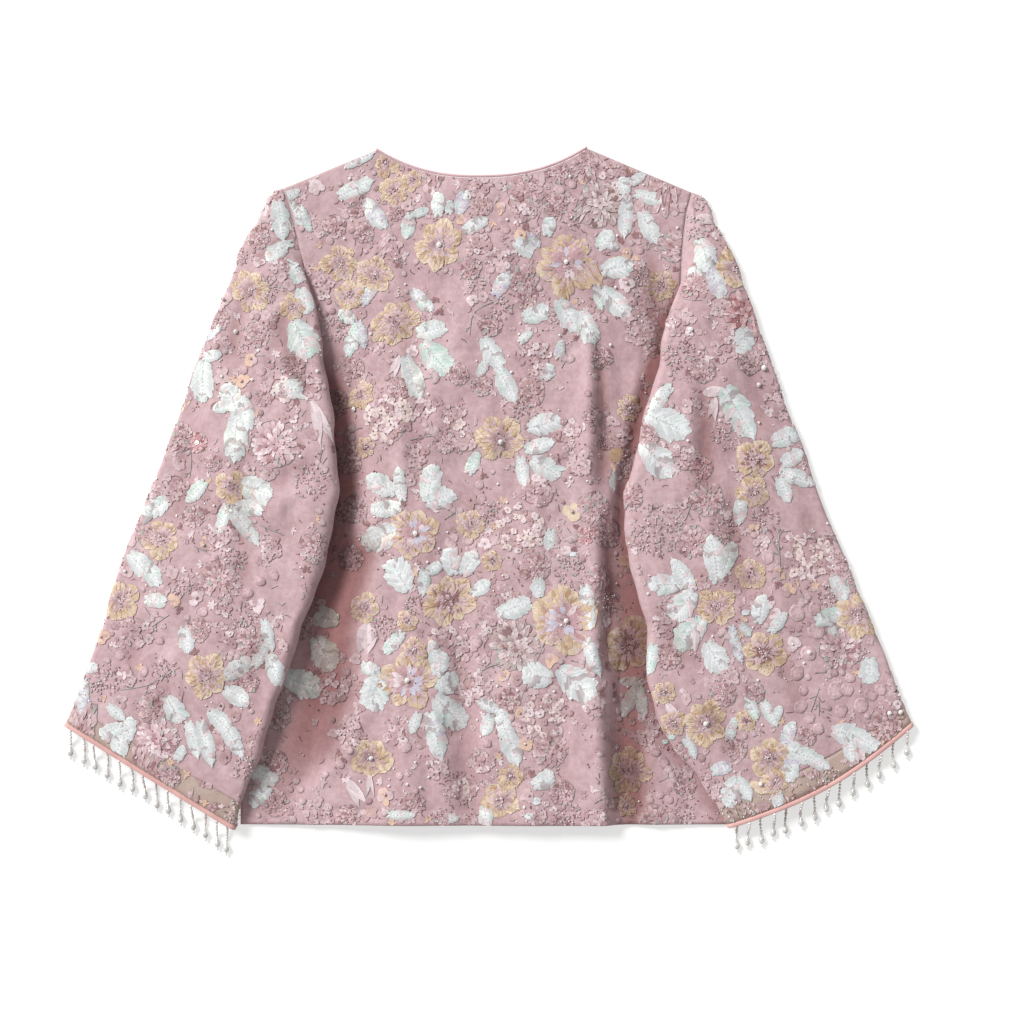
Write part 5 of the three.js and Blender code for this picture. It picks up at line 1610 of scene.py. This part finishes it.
def strand(start, fall, rng, parts):
    """One strand: seed beads, a teardrop crystal and an end bead, from start."""
    count = int(rng.integers(5, 7))
    total = FRINGE_DROP * rng.uniform(0.94, 1.06)
    sway = rng.normal(0, 0.5)
    n = 40
    t = np.linspace(0, 1, n)
    x = start[0] + sway * t**1.5 + 0.5 * np.sin(t * 5 + rng.uniform(0, 6))
    y = start[1] - total * t
    z = 0.9 + (start[2] - 0.9) * (1 - rise(0.0, 0.62, t)) + 1.7 * rise(0.5, 0.66, t) * (1 - rise(0.93, 1.0, t)) + fall * (1 - rise(0.3, 0.8, t))
    path = np.stack([x, y, z], 1)

    def along(s):
        return np.array([np.interp(s, t, path[:, k]) for k in range(3)])

    V, F, T = rod(path[::3], 0.16, sides=4)
    tri = np.concatenate([F[:, [0, 1, 2]], F[:, [0, 2, 3]], T])
    parts.append((V, tri, lin(226, 222, 218), 2))
    seed_len = total - 12.6
    for k in range(count):
        s = (k + 0.55) / count * seed_len / total
        r = rng.uniform(1.15, 1.3) if k % 2 else rng.uniform(1.45, 1.65)
        c = along(s)
        c[2] = max(c[2], r + 0.05)
        tone = lin(234, 231, 228) * rng.uniform(0.84, 1.04) if rng.random() < 0.85 else lin(214, 202, 198)
        parts.append((SEED_V * r + c, SEED_F, tone, 3))
    s0 = seed_len / total
    a, b = along(s0), along(s0 + 10.2 / total)
    axis = (b - a) / np.linalg.norm(b - a)
    side = np.cross(axis, [0, 0, 1.0])
    side /= np.linalg.norm(side)
    up = np.cross(side, axis)
    ring = np.arange(10) / 10 * 2 * math.pi + rng.uniform(0, 1)
    V = []
    for d, r in DROP:
        r = r * 1.12
        c = a + axis * d
        c[2] = max(c[2], r * 0.86 + 0.1)
        V.append(c + r * (np.cos(ring)[:, None] * side + 0.86 * np.sin(ring)[:, None] * up))
    V = np.concatenate(V)
    m = len(DROP)
    i = np.arange(m * 10).reshape(m, 10)
    j = np.roll(i, -1, 1)
    F = np.concatenate([np.stack([i[:-1].ravel(), j[:-1].ravel(), j[1:].ravel()], 1), np.stack([i[:-1].ravel(), j[1:].ravel(), i[1:].ravel()], 1)])
    V = np.concatenate([V, (a - axis * 0.2)[None], (a + axis * 10.5)[None]])
    V[:, 2] = np.maximum(V[:, 2], 0.05)
    e0, e1 = len(V) - 2, len(V) - 1
    F = np.concatenate([F, np.stack([j[0], i[0], np.full(10, e0)], 1), np.stack([i[-1], j[-1], np.full(10, e1)], 1)])
    parts.append((V, F, None, 4))
    c = a + axis * 11.6
    c[2] = max(c[2], 1.25)
    parts.append((END_V * 1.15 + c, END_F, lin(240, 237, 233), 3))


for side in ("left", "right"):
    S = sleeves[side]
    rng = np.random.default_rng(71 if side == "left" else 72)
    last = S["last"]
    parts = []
    upper = last[TUCK + 6:T1 + OUTER - 3]
    lower = np.concatenate([last[T1 + OUTER + 1:-1], last[:TUCK - 1]])
    width = np.ptp(last[:, 0])
    lines = []
    for pts in (upper, lower):
        run = np.concatenate([[0], np.cumsum(np.linalg.norm(np.diff(pts, axis=0), axis=1))])
        lines.append((pts, run))
    n = 14
    for k in range(n):
        pts, run = lines[k % 2]
        along_cuff = np.clip((k + 0.5 + rng.normal(0, 0.05)) / n, 0.015, 0.985)
        reach = np.abs(pts[:, 0] - last[:, 0][np.argmax(np.abs(last[:, 0]))])
        s = np.interp(along_cuff * width, np.maximum.accumulate(reach if reach[-1] > reach[0] else reach[::-1]),
                      run if reach[-1] > reach[0] else run[::-1])
        p = np.array([np.interp(s, run, pts[:, q]) for q in range(3)]) + S["away"] * 3.9
        strand(p - np.array([0, 0, 0.3]), 0.0, rng, parts)
    V, F, C, M, n = [], [], [], [], 0
    for v, f, col, mat in parts:
        V.append(v)
        F.append(f + n)
        n += len(v)
        C.append(per_face(lin(246, 244, 241) if col is None else col, len(f)))
        M.append(np.full(len(f), mat))
    ob = mesh_object("fringe_" + side + "_strands", np.concatenate(V), [np.concatenate(F)], EMBROIDERY + [CRYSTAL],
                     np.concatenate(M), np.concatenate(C), palette_map=True)
    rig.replaces(ob, "fringe_" + side)
    S["fringe"] = ob
    print("fringe", side, sum(len(f) for f in F), "triangles")


# ------------------------------------------------------- where the motifs lie
# Leaves: place in the picture's frame, length, width, angle of the tip, tint
# (w white, m mint, l lavender, b blush).
LEAVES = """
291 194 22 9 30 w|296 213 28 10 -62 w|305 220 28 8 -65 m|281 222 44 16 -80 w|277 252 28 16 -140 w|297 271 24 16 -70 w
305 302 26 18 -75 w|304 341 38 28 -65 m|203 383 40 22 -90 w|213 356 20 10 10 w|214 331 20 9 40 l|357 187 38 16 25 w
360 158 34 10 25 w|376 216 36 16 -55 l|408 228 26 12 -100 m|438 203 24 12 90 w|422 212 16 8 20 m|450 207 14 8 80 w
462 203 26 12 -105 l|477 225 26 12 28 w|503 283 28 13 60 l|371 291 30 10 55 l|346 316 18 12 150 m|352 342 34 14 -110 m
362 336 30 8 -80 l|423 302 30 12 -45 l|432 330 28 18 15 w|437 360 38 26 -50 m|414 380 44 18 -70 w|395 368 26 9 -110 b
493 355 34 18 -60 w|482 370 18 8 -120 w|507 386 36 18 -65 w|549 226 18 12 80 l|525 248 20 16 -30 w|535 242 16 8 -50 l
537 314 26 18 20 w|568 316 34 20 -60 w|588 328 36 20 -65 w|599 298 26 9 -80 m|617 304 40 20 -45 w|619 267 32 20 10 w
606 238 22 14 50 w|612 245 16 8 -20 w|626 218 42 14 -95 w|650 228 36 16 -65 w|652 197 32 12 -15 w|624 184 20 10 100 w
638 178 18 9 30 w|694 273 18 10 -30 l|560 349 20 8 80 l|526 337 16 8 45 w|548 372 16 12 60 w|232 397 30 20 115 w
247 415 34 16 -80 w|222 408 18 10 190 w|237 440 48 22 -95 w|258 490 36 24 -20 w|252 508 30 14 -10 w|247 527 48 14 -52 w
224 521 32 10 -105 m|196 493 28 12 -135 m|155 508 28 18 -150 w|141 565 30 18 -45 w|153 574 30 16 -60 w|158 600 22 14 0 w
292 390 26 20 0 w|188 640 26 14 -80 w|240 667 32 16 35 w|239 695 26 18 -25 w|270 636 34 10 -75 w|277 670 34 16 -70 w
263 652 30 10 60 w|176 710 28 20 -60 w|195 740 38 12 -75 w|208 744 46 14 -75 w|223 722 30 16 -45 w|234 738 46 14 -62 w
118 713 22 10 -40 w|111 731 24 14 -160 w|130 728 26 12 80 w|119 748 26 18 -100 w|83 699 38 10 -95 l|92 668 14 10 0 w
182 752 16 9 60 w|264 776 30 18 -20 w|258 797 26 16 -140 m
322 425 50 14 -70 b|380 484 32 20 150 w|400 482 34 11 98 w|385 509 30 16 185 w|380 538 40 24 200 w|399 574 34 26 120 w
424 583 28 10 -95 m|431 481 36 20 80 w|441 498 28 20 20 w|435 568 16 10 30 m|451 560 26 18 100 w|470 562 26 16 60 w
474 462 24 10 65 m|482 587 22 12 35 w
325 618 24 20 170 w|325 655 36 26 -60 w|303 684 38 26 -20 m|366 640 36 26 -100 b|393 643 28 12 -130 m|369 668 18 12 160 w
376 692 36 28 -110 w|435 655 34 12 100 w|441 663 24 14 70 w|449 683 24 18 30 w|451 713 42 24 -45 m|437 737 48 18 -80 l
415 723 22 9 -110 w|357 794 34 14 -60 b|370 785 28 6 -85 b|403 814 28 8 0 w|452 817 14 8 0 w|490 706 26 10 -30 w
487 725 22 12 -110 w|486 815 20 14 -80 w
546 424 34 20 15 w|541 446 30 14 15 w|547 469 32 20 -30 w|523 473 30 12 -80 w|661 397 34 12 55 w|668 425 44 28 -25 w
657 461 44 26 -50 w|613 482 22 7 -90 w|549 541 20 10 -100 w|573 554 10 6 0 w|515 607 34 20 20 w|538 588 20 12 -90 w
587 603 34 14 -80 w|663 584 32 20 180 w|681 573 38 14 125 w|681 606 34 22 -130 w|713 556 48 20 100 w|727 556 34 16 70 w
713 392 22 13 10 b|712 410 26 10 -100 b
536 675 28 24 170 w|578 684 44 30 -40 w|593 658 40 12 -70 w|588 615 30 12 -80 w|511 745 44 18 -70 w|503 720 26 14 100 w
544 779 22 16 30 w|537 800 12 10 0 w|530 815 12 8 0 w|650 660 30 12 -100 m|630 682 24 8 180 w|629 703 32 12 -115 w
642 704 34 10 -80 m|688 634 38 26 -130 m|714 657 32 22 -60 w|672 711 22 10 -50 b|690 747 26 9 -65 w|722 767 20 12 20 l
671 736 10 6 0 m|666 742 8 6 0 m
707 219 22 12 -10 b|705 255 32 22 -80 w|716 284 30 18 -70 l|743 341 28 20 -100 w|738 414 58 26 -60 m|787 437 30 18 20 w
793 457 24 14 30 w|800 479 38 14 -20 w|784 491 26 12 -65 w|739 511 30 12 -95 w|840 589 26 16 -60 w|760 607 28 16 80 w
745 612 10 7 0 w|778 621 26 10 50 w|830 616 30 16 20 m|832 630 14 8 -70 w|745 630 16 8 -50 m|735 645 40 9 -75 l
869 672 24 20 -90 w|751 708 24 10 -65 m|769 714 28 10 -60 w|777 712 16 8 70 w|788 733 30 12 65 l|731 727 26 8 75 l
846 733 28 20 -10 w|862 740 40 18 -30 w|850 750 24 12 -80 w|795 752 34 20 -20 m|815 760 36 12 -30 w|790 768 28 16 -100 l
731 792 30 20 -110 w|744 789 26 12 -60 w|777 799 22 10 -80 w
"""
# Cream flowers: place, radius, kind (r plain, p pearl, d dusty heart, o ochre: darker cream, painted shade for flowers
# lying in shade, c peach, b big with pink inside).
RINGS = """
440 245 26 p|340 262 22 r|375 275 22 r|350 295 16 r|395 322 26 r|386 162 14 r|393 190 16 r|412 180 12 r|250 290 24 r
293 308 16 r|232 487 20 r|162 538 22 r|121 600 22 r|208 675 24 r|568 263 34 b|360 395 16 r|366 447 12 c|500 440 26 p
415 533 28 b|470 525 16 c|449 600 28 d|365 607 18 r|408 620 12 r|493 560 12 c|408 680 34 b|415 650 14 r|371 757 24 p
385 795 10 c|368 812 10 c|500 800 22 r|510 775 14 r|629 408 16 o|615 455 8 o|572 512 10 r|628 560 8 c|563 620 36 b
715 606 22 r|630 645 30 d|663 692 14 c|672 722 14 r|704 722 27 p|629 770 26 r|626 808 12 r|735 268 24 r|662 285 18 o
755 460 22 d|752 492 18 r|752 530 8 c|750 573 18 r|787 588 8 c|762 652 26 d|768 757 24 r|775 780 16 r|760 785 10 r
745 720 12 r|857 615 26 r
"""
# Dusty flowers: place, radius, kind (m many-petalled, g grey-dusty, k pink, x red-pink, h hydrangea, s seeds, w white florets).
MUMS = """
600 203 26 g|525 190 18 m|470 268 12 m|523 279 16 m|257 237 13 m|268 290 14 s|276 445 24 k|218 578 20 m|198 443 11 x
194 516 12 m|182 585 10 s|158 738 22 k|390 420 26 h|455 418 14 h|655 530 26 s|520 530 26 h|570 575 20 s|585 535 10 x
705 498 18 m|700 468 12 x|545 715 22 h|515 645 26 g|745 312 24 x|810 558 26 h|840 648 22 k|885 725 18 m|465 790 14 h
685 785 12 m|245 616 14 s|149 536 12 m|475 283 10 s|283 390 14 h|680 355 18 s|660 340 14 m
"""
BERRIES = """
350 750 5|340 765 5|325 775 5|300 790 5|310 805 5|290 790 4|320 800 4|405 745 8|400 775 5|415 790 5|475 642 8|487 742 6
345 672 6|655 753 6|663 763 7|660 795 5|670 800 5|650 800 5|768 557 8|815 608 8|797 612 10|815 632 10|808 652 9|795 672 9
803 690 6|800 707 8|808 717 7|818 728 7|828 733 5|840 710 8|833 690 10|846 690 8|850 677 6|870 695 8|860 705 9|880 690 7
425 425 4|480 485 5|482 500 6|468 540 7|470 285 6|490 270 6|505 230 6|138 645 6|160 640 6|262 580 6|250 592 6|275 575 6
245 370 6|262 372 6|120 655 6|128 668 5|145 672 6|345 215 5|352 228 6|330 240 5|560 190 6|572 184 5|640 250 5|205 612 6
"""
PEARLS = "354 409 4|763 368 5|758 385 4|889 713 4|900 712 4|808 652 4|198 443 4|318 372 3|610 345 3|690 330 4|236 332 4"
TWIGS = [
    [(505, 298), (475, 312), (470, 335)], [(180, 668), (150, 684), (120, 690)], [(190, 440), (192, 460), (190, 478)],
    [(195, 545), (212, 555)], [(240, 358), (265, 356)], [(262, 525), (285, 535)], [(410, 440), (425, 437), (440, 436)],
    [(470, 680), (485, 668), (500, 663), (510, 660)], [(475, 628), (482, 612)], [(780, 580), (778, 555), (770, 540)],
    [(778, 560), (778, 535), (790, 530)], [(817, 690), (812, 705), (808, 715)], [(818, 700), (818, 715)],
    [(575, 440), (567, 460)], [(690, 503), (685, 518)], [(325, 445), (318, 470)], [(545, 640), (520, 700)],
    [(395, 250), (402, 268)], [(700, 340), (712, 365), (708, 382)], [(838, 545), (825, 530)], [(170, 615), (150, 628)],
]
# Plain pink stays open here: u0, u1, v0, v1.
OPEN = [
    (430, 460, 275, 300), (480, 500, 235, 255), (450, 470, 310, 350), (320, 340, 190, 215), (300, 320, 235, 262),
    (190, 215, 405, 430), (240, 262, 540, 600), (150, 180, 610, 640), (205, 240, 765, 800), (255, 275, 670, 700),
    (430, 475, 380, 400), (385, 410, 445, 465), (365, 395, 455, 475), (365, 385, 545, 570), (440, 475, 450, 500),
    (485, 505, 480, 500), (285, 330, 700, 780), (320, 350, 780, 810), (445, 480, 730, 760), (455, 475, 690, 730),
    (560, 590, 380, 420), (555, 590, 480, 500), (605, 640, 320, 400), (640, 670, 480, 515), (640, 680, 545, 575),
    (560, 595, 705, 800), (600, 615, 690, 760), (765, 835, 490, 525), (700, 730, 440, 480), (800, 815, 665, 690),
    (785, 800, 690, 750), (860, 868, 683, 698),
    (88, 116, 700, 736), (812, 850, 734, 766), (455, 492, 335, 372), (462, 500, 392, 420), (176, 192, 756, 774), (200, 214, 774, 806),
    (272, 312, 470, 560), (262, 300, 560, 616), (440, 470, 300, 352), (640, 690, 545, 580), (610, 636, 320, 372), (785, 830, 488, 528),
]


def table(text):
    return [row.split() for line in text.strip().splitlines() for row in line.split("|")]


LEFT_BOUND = np.array([px(283, 188), px(289, 205), px(295, 228), px(300, 250), px(304, 270)]
                      + [(r[2], r[3]) for r in SLEEVES["left"][5:]])
RIGHT_BOUND = np.array([px(692, 192), px(687, 210), px(684, 232), px(682, 256), px(681, 280)]
                       + [(r[2], r[3]) for r in SLEEVES["right"][5:]])


def bound(y, side):
    b = LEFT_BOUND if side == "left" else RIGHT_BOUND
    b = b[np.argsort(b[:, 1])]
    return np.interp(y, b[:, 1], b[:, 0])


def region(x, y):
    if x < bound(y, "left"):
        return "left"
    return "right" if x > bound(y, "right") else "back"


U, Vg = np.meshgrid(np.arange(1024), np.arange(1024))
taken = np.zeros((1024, 1024), bool)
open_area = np.zeros((1024, 1024), bool)
for u0, u1, v0, v1 in OPEN:
    open_area |= ((U - (u0 + u1) / 2) / ((u1 - u0) / 2)) ** 2 + ((Vg - (v0 + v1) / 2) / ((v1 - v0) / 2)) ** 2 < 1.25


def stamp(u, v, a, b=None, ang=0.0):
    b = a if b is None else b
    m = int(max(a, b)) + 2
    u0, u1, v0, v1 = max(0, int(u) - m), min(1024, int(u) + m), max(0, int(v) - m), min(1024, int(v) + m)
    du, dv = U[v0:v1, u0:u1] - u, Vg[v0:v1, u0:u1] - v
    co, si = math.cos(ang), -math.sin(ang)
    p, q = du * co + dv * si, -du * si + dv * co
    taken[v0:v1, u0:u1] |= (p / a) ** 2 + (q / b) ** 2 < 1


def free(u, v, r, limit=0.2):
    m = max(1, int(r * 0.75))
    if taken[int(v), int(u)]:
        return False
    return taken[int(v) - m:int(v) + m + 1, int(u) - m:int(u) + m + 1].mean() < limit


PX = 0.88
TINTS = {"w": WHITE, "m": MINT, "l": LAV, "b": BLUSH}
batches = {(r, k): Batch() for r in ("back", "left", "right") for k in ("leaves", "flowers", "small")}
rng = np.random.default_rng(20)


def put(kind, parts, u, v, ang=0.0, lift=1.0):
    x, y = px(u, v)
    batches[(region(x, y), kind)].add(parts, (x, y), ang, lift)


for u, v, L, W, a, t in table(LEAVES):
    u, v, L, W, a = (float(q) for q in (u, v, L, W, a))
    if L < 13:
        parts = blades(L * PX, W * PX * 1.1, TINTS[t], rng)
    elif W < 9.5 or t == "b":
        parts = leaf(L * PX, W * PX, TINTS[t], rng, 0.95) if t != "b" else blades(L * PX, W * PX * 1.15, BLUSH, rng)
    else:
        parts = leaf(L * PX * 1.02, W * PX * 1.04, TINTS[t], rng)
    put("leaves", parts, u, v, math.radians(a))
    stamp(u, v, L / 2, W / 2, math.radians(a))
for u, v, R, kind in table(RINGS):
    u, v, R = float(u), float(v), float(R)
    r = R * PX * 0.98
    if R <= 10:
        # small flowers of kind o take OCHRE as painted shade; kind c takes its own peach
        tone = PEACH if kind == "c" else (OCHRE if kind == "o" else CREAM)
        parts = floret(0, 0, r, rng, tone, DUST_DEEP, k=5, h=0.4)
    elif kind == "b":
        parts = ring_flower(r, rng, inner=ROSE * 0.25 + DUST * 0.75, pearl=True, mix=0.34)
        k = 15
        aa = rng.uniform(0, 6.28) + np.arange(k) / k * 2 * math.pi
        V_, F_, tf, wf_, nf = petals(np.cos(aa) * r * 0.16, np.sin(aa) * r * 0.16, aa, r * rng.uniform(0.30, 0.46, k), r * 0.16, 1.15, 1.25, OVAL, m=3, arch=0.4)
        parts.append((V_, F_, vary(rng, per_face(np.where(rng.random((k, 1)) < 0.4, lerp(ROSE, DUST_LIT, 0.55), np.where(rng.random((k, 1)) < 0.5, LAV, BLUSH)), nf) * (0.8 + 0.25 * tf)[:, None], 0.05), PET))
    else:
        # kind o flowers lie in shade and are painted darker; kind c is darkened a little for its peach tone
        parts = ring_flower(r, rng, inner=DUST if kind != "d" else DUST_DEEP, pearl=kind == "p", warm={"o": 1.0, "c": 0.25}.get(kind, 0.0),
                            centre_dark=kind == "d")
    put("flowers", parts, u, v, rng.uniform(0, 6.28))
    stamp(u, v, R * 0.98)
for u, v, R, kind in table(MUMS):
    u, v, R = float(u), float(v), float(R)
    r = R * PX
    if kind == "s":
        parts = seed_mum(r, rng)
    elif kind == "h":
        parts = cluster(r, rng, lin(236, 216, 212), DUST_DEEP, 4.0)
    elif kind == "g":
        parts = mum(r, rng, lin(196, 172, 172), lin(222, 206, 206), lin(150, 116, 116))
    elif kind == "k":
        parts = mum(r, rng, lin(214, 184, 189), lin(234, 216, 220), lin(178, 134, 140))
    elif kind == "x":
        parts = mum(r, rng, lin(203, 156, 160), lin(222, 188, 191), lin(160, 104, 108))
    else:
        parts = mum(r, rng)
    put("flowers", parts, u, v, rng.uniform(0, 6.28))
    stamp(u, v, R * 0.95)
for u, v, R in table(BERRIES):
    u, v, R = float(u), float(v), float(R)
    put("small", berry(0, 0, R * PX * 0.86, rng, lin(222, 190, 194) if rng.random() < 0.7 else lin(212, 178, 182)), u, v)
    stamp(u, v, R * 1.05)
for u, v, R in table(PEARLS):
    put("small", [bead([0], [0], float(R) * PX * 0.58, 0.2, sides=12, col=PEARL, rng=rng)], float(u), float(v))
    stamp(float(u), float(v), float(R) + 1)
for line in TWIGS:
    cu, cv = line[len(line) // 2]
    put("small", twig([((u - cu) * PX, (cv - v) * PX) for u, v in line], rng), cu, cv)
    for u, v in line:
        stamp(u, v, 4)

panels = {"back": Panel(back_high, back_N, back_high.shape[1] // 2, fold=back_fold_shade)}
masks = {"back": (clear_l > -4) & (clear_r > -4)}
for side in ("left", "right"):
    S = sleeves[side]
    panels[side] = Panel(S["P"], S["N"], (T0 + T1) // 2, fold=S["fold"])
    m = np.zeros(S["P"].shape[:2], bool)
    m[:, T0 - 3:T1 + 3] = True
    m[:3 * SUB, 3:T1 + 3] = True
    masks[side] = m


def on_cloth(u, v, near=2.9):
    x, y = px(u, v)
    r = region(x, y)
    tree, rr, cc = panels[r].tree("top", masks[r])
    co, i, d = tree.find((x, y, 0.0))
    return d < near


# more of the plain pink stays open here and there
holes = 0
for _ in range(5000):
    u, v, R = rng.uniform(80, 900), rng.uniform(165, 810), rng.uniform(7.5, 13)
    if holes < 135 and free(u, v, R, 0.06) and not open_area[int(v), int(u)] and on_cloth(u, v):
        open_area |= ((U - u) / R) ** 2 + ((Vg - v) / (R * rng.uniform(0.8, 1.5))) ** 2 < 1.2
        holes += 1
# heads of florets, small flowers and sprigs where the listed ones leave room
for r_px, tries, what in ((15, 1500, "cluster"), (11, 2600, "cluster"), (8, 3600, "flower"), (9, 1500, "sprig")):
    for _ in range(tries):
        u, v = rng.uniform(70, 905), rng.uniform(152, 818)
        R = r_px * rng.uniform(0.85, 1.25)
        if open_area[int(v), int(u)] or open_area[int(v) - 5:int(v) + 6, int(u) - 5:int(u) + 6].mean() > 0.3 or not free(u, v, R, 0.14) or not on_cloth(u, v):
            continue
        pick = rng.random()
        if what == "cluster":
            parts = cluster(R * PX, rng, DUST_LIT, DUST_DEEP, 4.0) if pick < 0.40 else (mum(R * PX, rng) if pick < 0.82 else seed_mum(R * PX, rng))
            stamp(u, v, R * 1.0)
        elif what == "flower":
            tone = DUST_LIT if pick < 0.5 else (BLUSH if pick < 0.65 else (DUST if pick < 0.85 else PEACH))
            parts = floret(0, 0, R * PX * 0.85, rng, tone, DUST_DEEP, k=int(rng.integers(5, 7)), h=0.35)
            stamp(u, v, R * 0.9)
        else:
            parts = sprig(rng, int(rng.integers(3, 5)), R * PX * 1.1)
            stamp(u, v, R * 1.0)
        put("small", parts, u, v, rng.uniform(0, 6.28))
# the small stitches between
for _ in range(30000):
    u, v = rng.uniform(64, 914), rng.uniform(150, 822)
    R = rng.uniform(3.0, 4.6)
    iu, iv = int(u), int(v)
    if taken[iv, iu] or (open_area[iv, iu] and rng.random() < 0.965):
        continue
    if not free(u, v, R, 0.3) or not on_cloth(u, v):
        continue
    put("small", specks(rng, rng.random()), u, v, rng.uniform(0, 6.28))
    stamp(u, v, R)

embroidery = {"back": [], "left": [], "right": []}
for (reg, kind), b in batches.items():
    label = {"back": "back", "left": "sleeve_left", "right": "sleeve_right"}[reg]
    limits = None if reg == "back" else (TUCK + INNER * 0.42, T1 + OUTER * 0.9, 3 * SUB)
    ob = panels[reg].lay(b, "top", masks[reg], "embroidery_" + label + "_" + kind, cols=limits)
    if ob:
        embroidery[reg].append(ob)

# flatter, sparser motifs on the sides that lie on the floor
under_masks, under_sets = {}, {}
for side in ("left", "right"):
    S = sleeves[side]
    P = S["P"]
    m = np.zeros(P.shape[:2], bool)
    m[3:, T1 + OUTER:] = P[3:, T1 + OUTER:, 2] < 2.0
    front, low, low_n = front_panels[side]
    front_mask = np.ones(low.shape[:2], bool)
    for label, panel, mask, n in (("sleeve_" + side + "_underside", Panel(P, S["N"], T1 + OUTER + 6), m, 60),
                                  ("front_" + side, Panel(low, low_n, 24), front_mask, 66)):
        rr, cc = np.nonzero(mask)
        b, seen = Batch(), []
        r2 = np.random.default_rng(90 + n + (side == "right"))
        for _ in range(n * 9):
            i = int(r2.integers(len(rr)))
            q = panel.P[rr[i], cc[i]]
            if any((q[0] - a) ** 2 + (q[1] - c) ** 2 < (rad + 6) ** 2 for a, c, rad in seen):
                continue
            pick = r2.random()
            if pick < 0.34:
                size = r2.uniform(20, 30)
                parts, rad = leaf(size, size * r2.uniform(0.36, 0.5), WHITE if r2.random() < 0.6 else MINT, r2), 13
            elif pick < 0.52:
                size = r2.uniform(10, 16)
                parts = floret(0, 0, size, r2, CREAM, OCHRE, k=8, h=0.3) + floret(0, 0, size * 0.55, r2, DUST_LIT, DUST_DEEP, k=6, h=0.7)
                rad = 13
            elif pick < 0.72:
                parts, rad = floret(0, 0, r2.uniform(5, 8), r2, DUST_LIT, DUST_DEEP), 6
            else:
                parts, rad = blades(r2.uniform(9, 16), 4.2, DUST_LIT, r2), 6
            seen.append((q[0], q[1], rad))
            b.add(parts, (q[0], q[1]), r2.uniform(0, 6.28), 0.42)
        ob = panel.lay(b, "under", mask, "embroidery_" + label, floor=0.05)
        if ob:
            under_sets[label] = ob

# ------------------------------------------------------- stage, light, camera
floor_mat = bpy.data.materials.new("plain pale floor")
floor_mat.use_nodes = True
fb = floor_mat.node_tree.nodes["Principled BSDF"]
fb.inputs["Base Color"].default_value = (0.46, 0.46, 0.46, 1)
fb.inputs["Emission Color"].default_value = (1.0, 1.0, 0.995, 1)
fb.inputs["Emission Strength"].default_value = 0.57
fb.inputs["Roughness"].default_value = 0.9
fb.inputs["Specular IOR Level"].default_value = 0.1
bpy.ops.mesh.primitive_plane_add(size=6.0, location=(0, 0, -0.0002))
floor = bpy.context.object
floor.name = "stage_floor"
floor.data.materials.append(floor_mat)
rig.stage(floor)

sun_data = bpy.data.lights.new("soft_sun", "SUN")
sun_data.energy = 3.55
sun_data.angle = math.radians(20)
sun_data.color = (1.0, 0.992, 0.984)
sun = bpy.data.objects.new("soft_sun", sun_data)
sun.rotation_euler = (math.radians(-30), math.radians(-44), 0)
bpy.context.scene.collection.objects.link(sun)

world = bpy.data.worlds.new("studio")
world.use_nodes = True
world.node_tree.nodes["Background"].inputs[0].default_value = (1.0, 1.0, 1.0, 1)
world.node_tree.nodes["Background"].inputs[1].default_value = 0.40
bpy.context.scene.world = world
view = bpy.context.scene.view_settings
view.view_transform = "Standard"
view.look = "None"

cam_data = bpy.data.cameras.new("camera")
cam_data.lens = 100
cam_data.sensor_width = 36
cam_data.clip_start, cam_data.clip_end = 0.05, 20
cam = bpy.data.objects.new("camera", cam_data)
cam.location = ((20.24 + SHIFT[0]) / 1000, (-8.8 + SHIFT[1]) / 1000, 2.511)
cam.rotation_euler = (0, 0, 0)
bpy.context.scene.collection.objects.link(cam)
bpy.context.scene.camera = cam

# -------------------------------------------------------------- what is cloth
everything = [o for o in bpy.context.scene.objects if o.type == "MESH" and o is not floor and "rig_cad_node" not in o]
for ob in everything:
    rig.ride(ob, "root")
    if ob.name.startswith("embroidery") or ob.name.startswith(("back", "front", "sleeve")):
        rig.slot(ob, "embroidered_net")
for ob in (neck_back, neck_left, neck_right, sleeves["left"]["binding"], sleeves["right"]["binding"]):
    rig.slot(ob, "binding")
for side in ("left", "right"):
    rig.slot(sleeves[side]["lining"], "lining")
    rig.slot(sleeves[side]["fringe"], "beads")

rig.sheet(back, flat=(0.46, 0.61), area=0.243, held="laid", rests_on=["front_left_cloth", "front_right_cloth"],
         with_pieces=[neck_back] + embroidery["back"])
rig.sheet(front_panels["left"][0], flat=(0.217, 0.61), area=0.113, held="laid",
         with_pieces=[neck_left, under_sets["front_left"]])
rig.sheet(front_panels["right"][0], flat=(0.222, 0.61), area=0.118, held="laid",
         with_pieces=[neck_right, under_sets["front_right"]])
for side, tube, tube_area, inner, inner_area in (("left", (0.37, 0.56), 0.145, (0.35, 0.34), 0.0945),
                                                 ("right", (0.385, 0.57), 0.157, (0.37, 0.35), 0.110)):
    S = sleeves[side]
    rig.sheet(S["cloth"], flat=tube, area=tube_area, held="laid", rests_on=["back_cloth"],
             with_pieces=[S["sheer"], S["binding"], S["fringe"], under_sets["sleeve_" + side + "_underside"]] + embroidery[side])
    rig.sheet(S["lining"], flat=inner, area=inner_area, held="laid", rests_on=["sleeve_" + side + "_cloth"])

total = 0
for ob in everything:
    n = sum(len(p.vertices) - 2 for p in ob.data.polygons)
    total += n
print("triangles in all", total, "areas", AREAS)
bpy.context.view_layer.update()
shown_box = [[float(x) for x in corner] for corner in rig.bounds()]
with open("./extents.json", "w") as f:
    json.dump({"cad_box": CAD_BOX, "bounds": shown_box}, f)
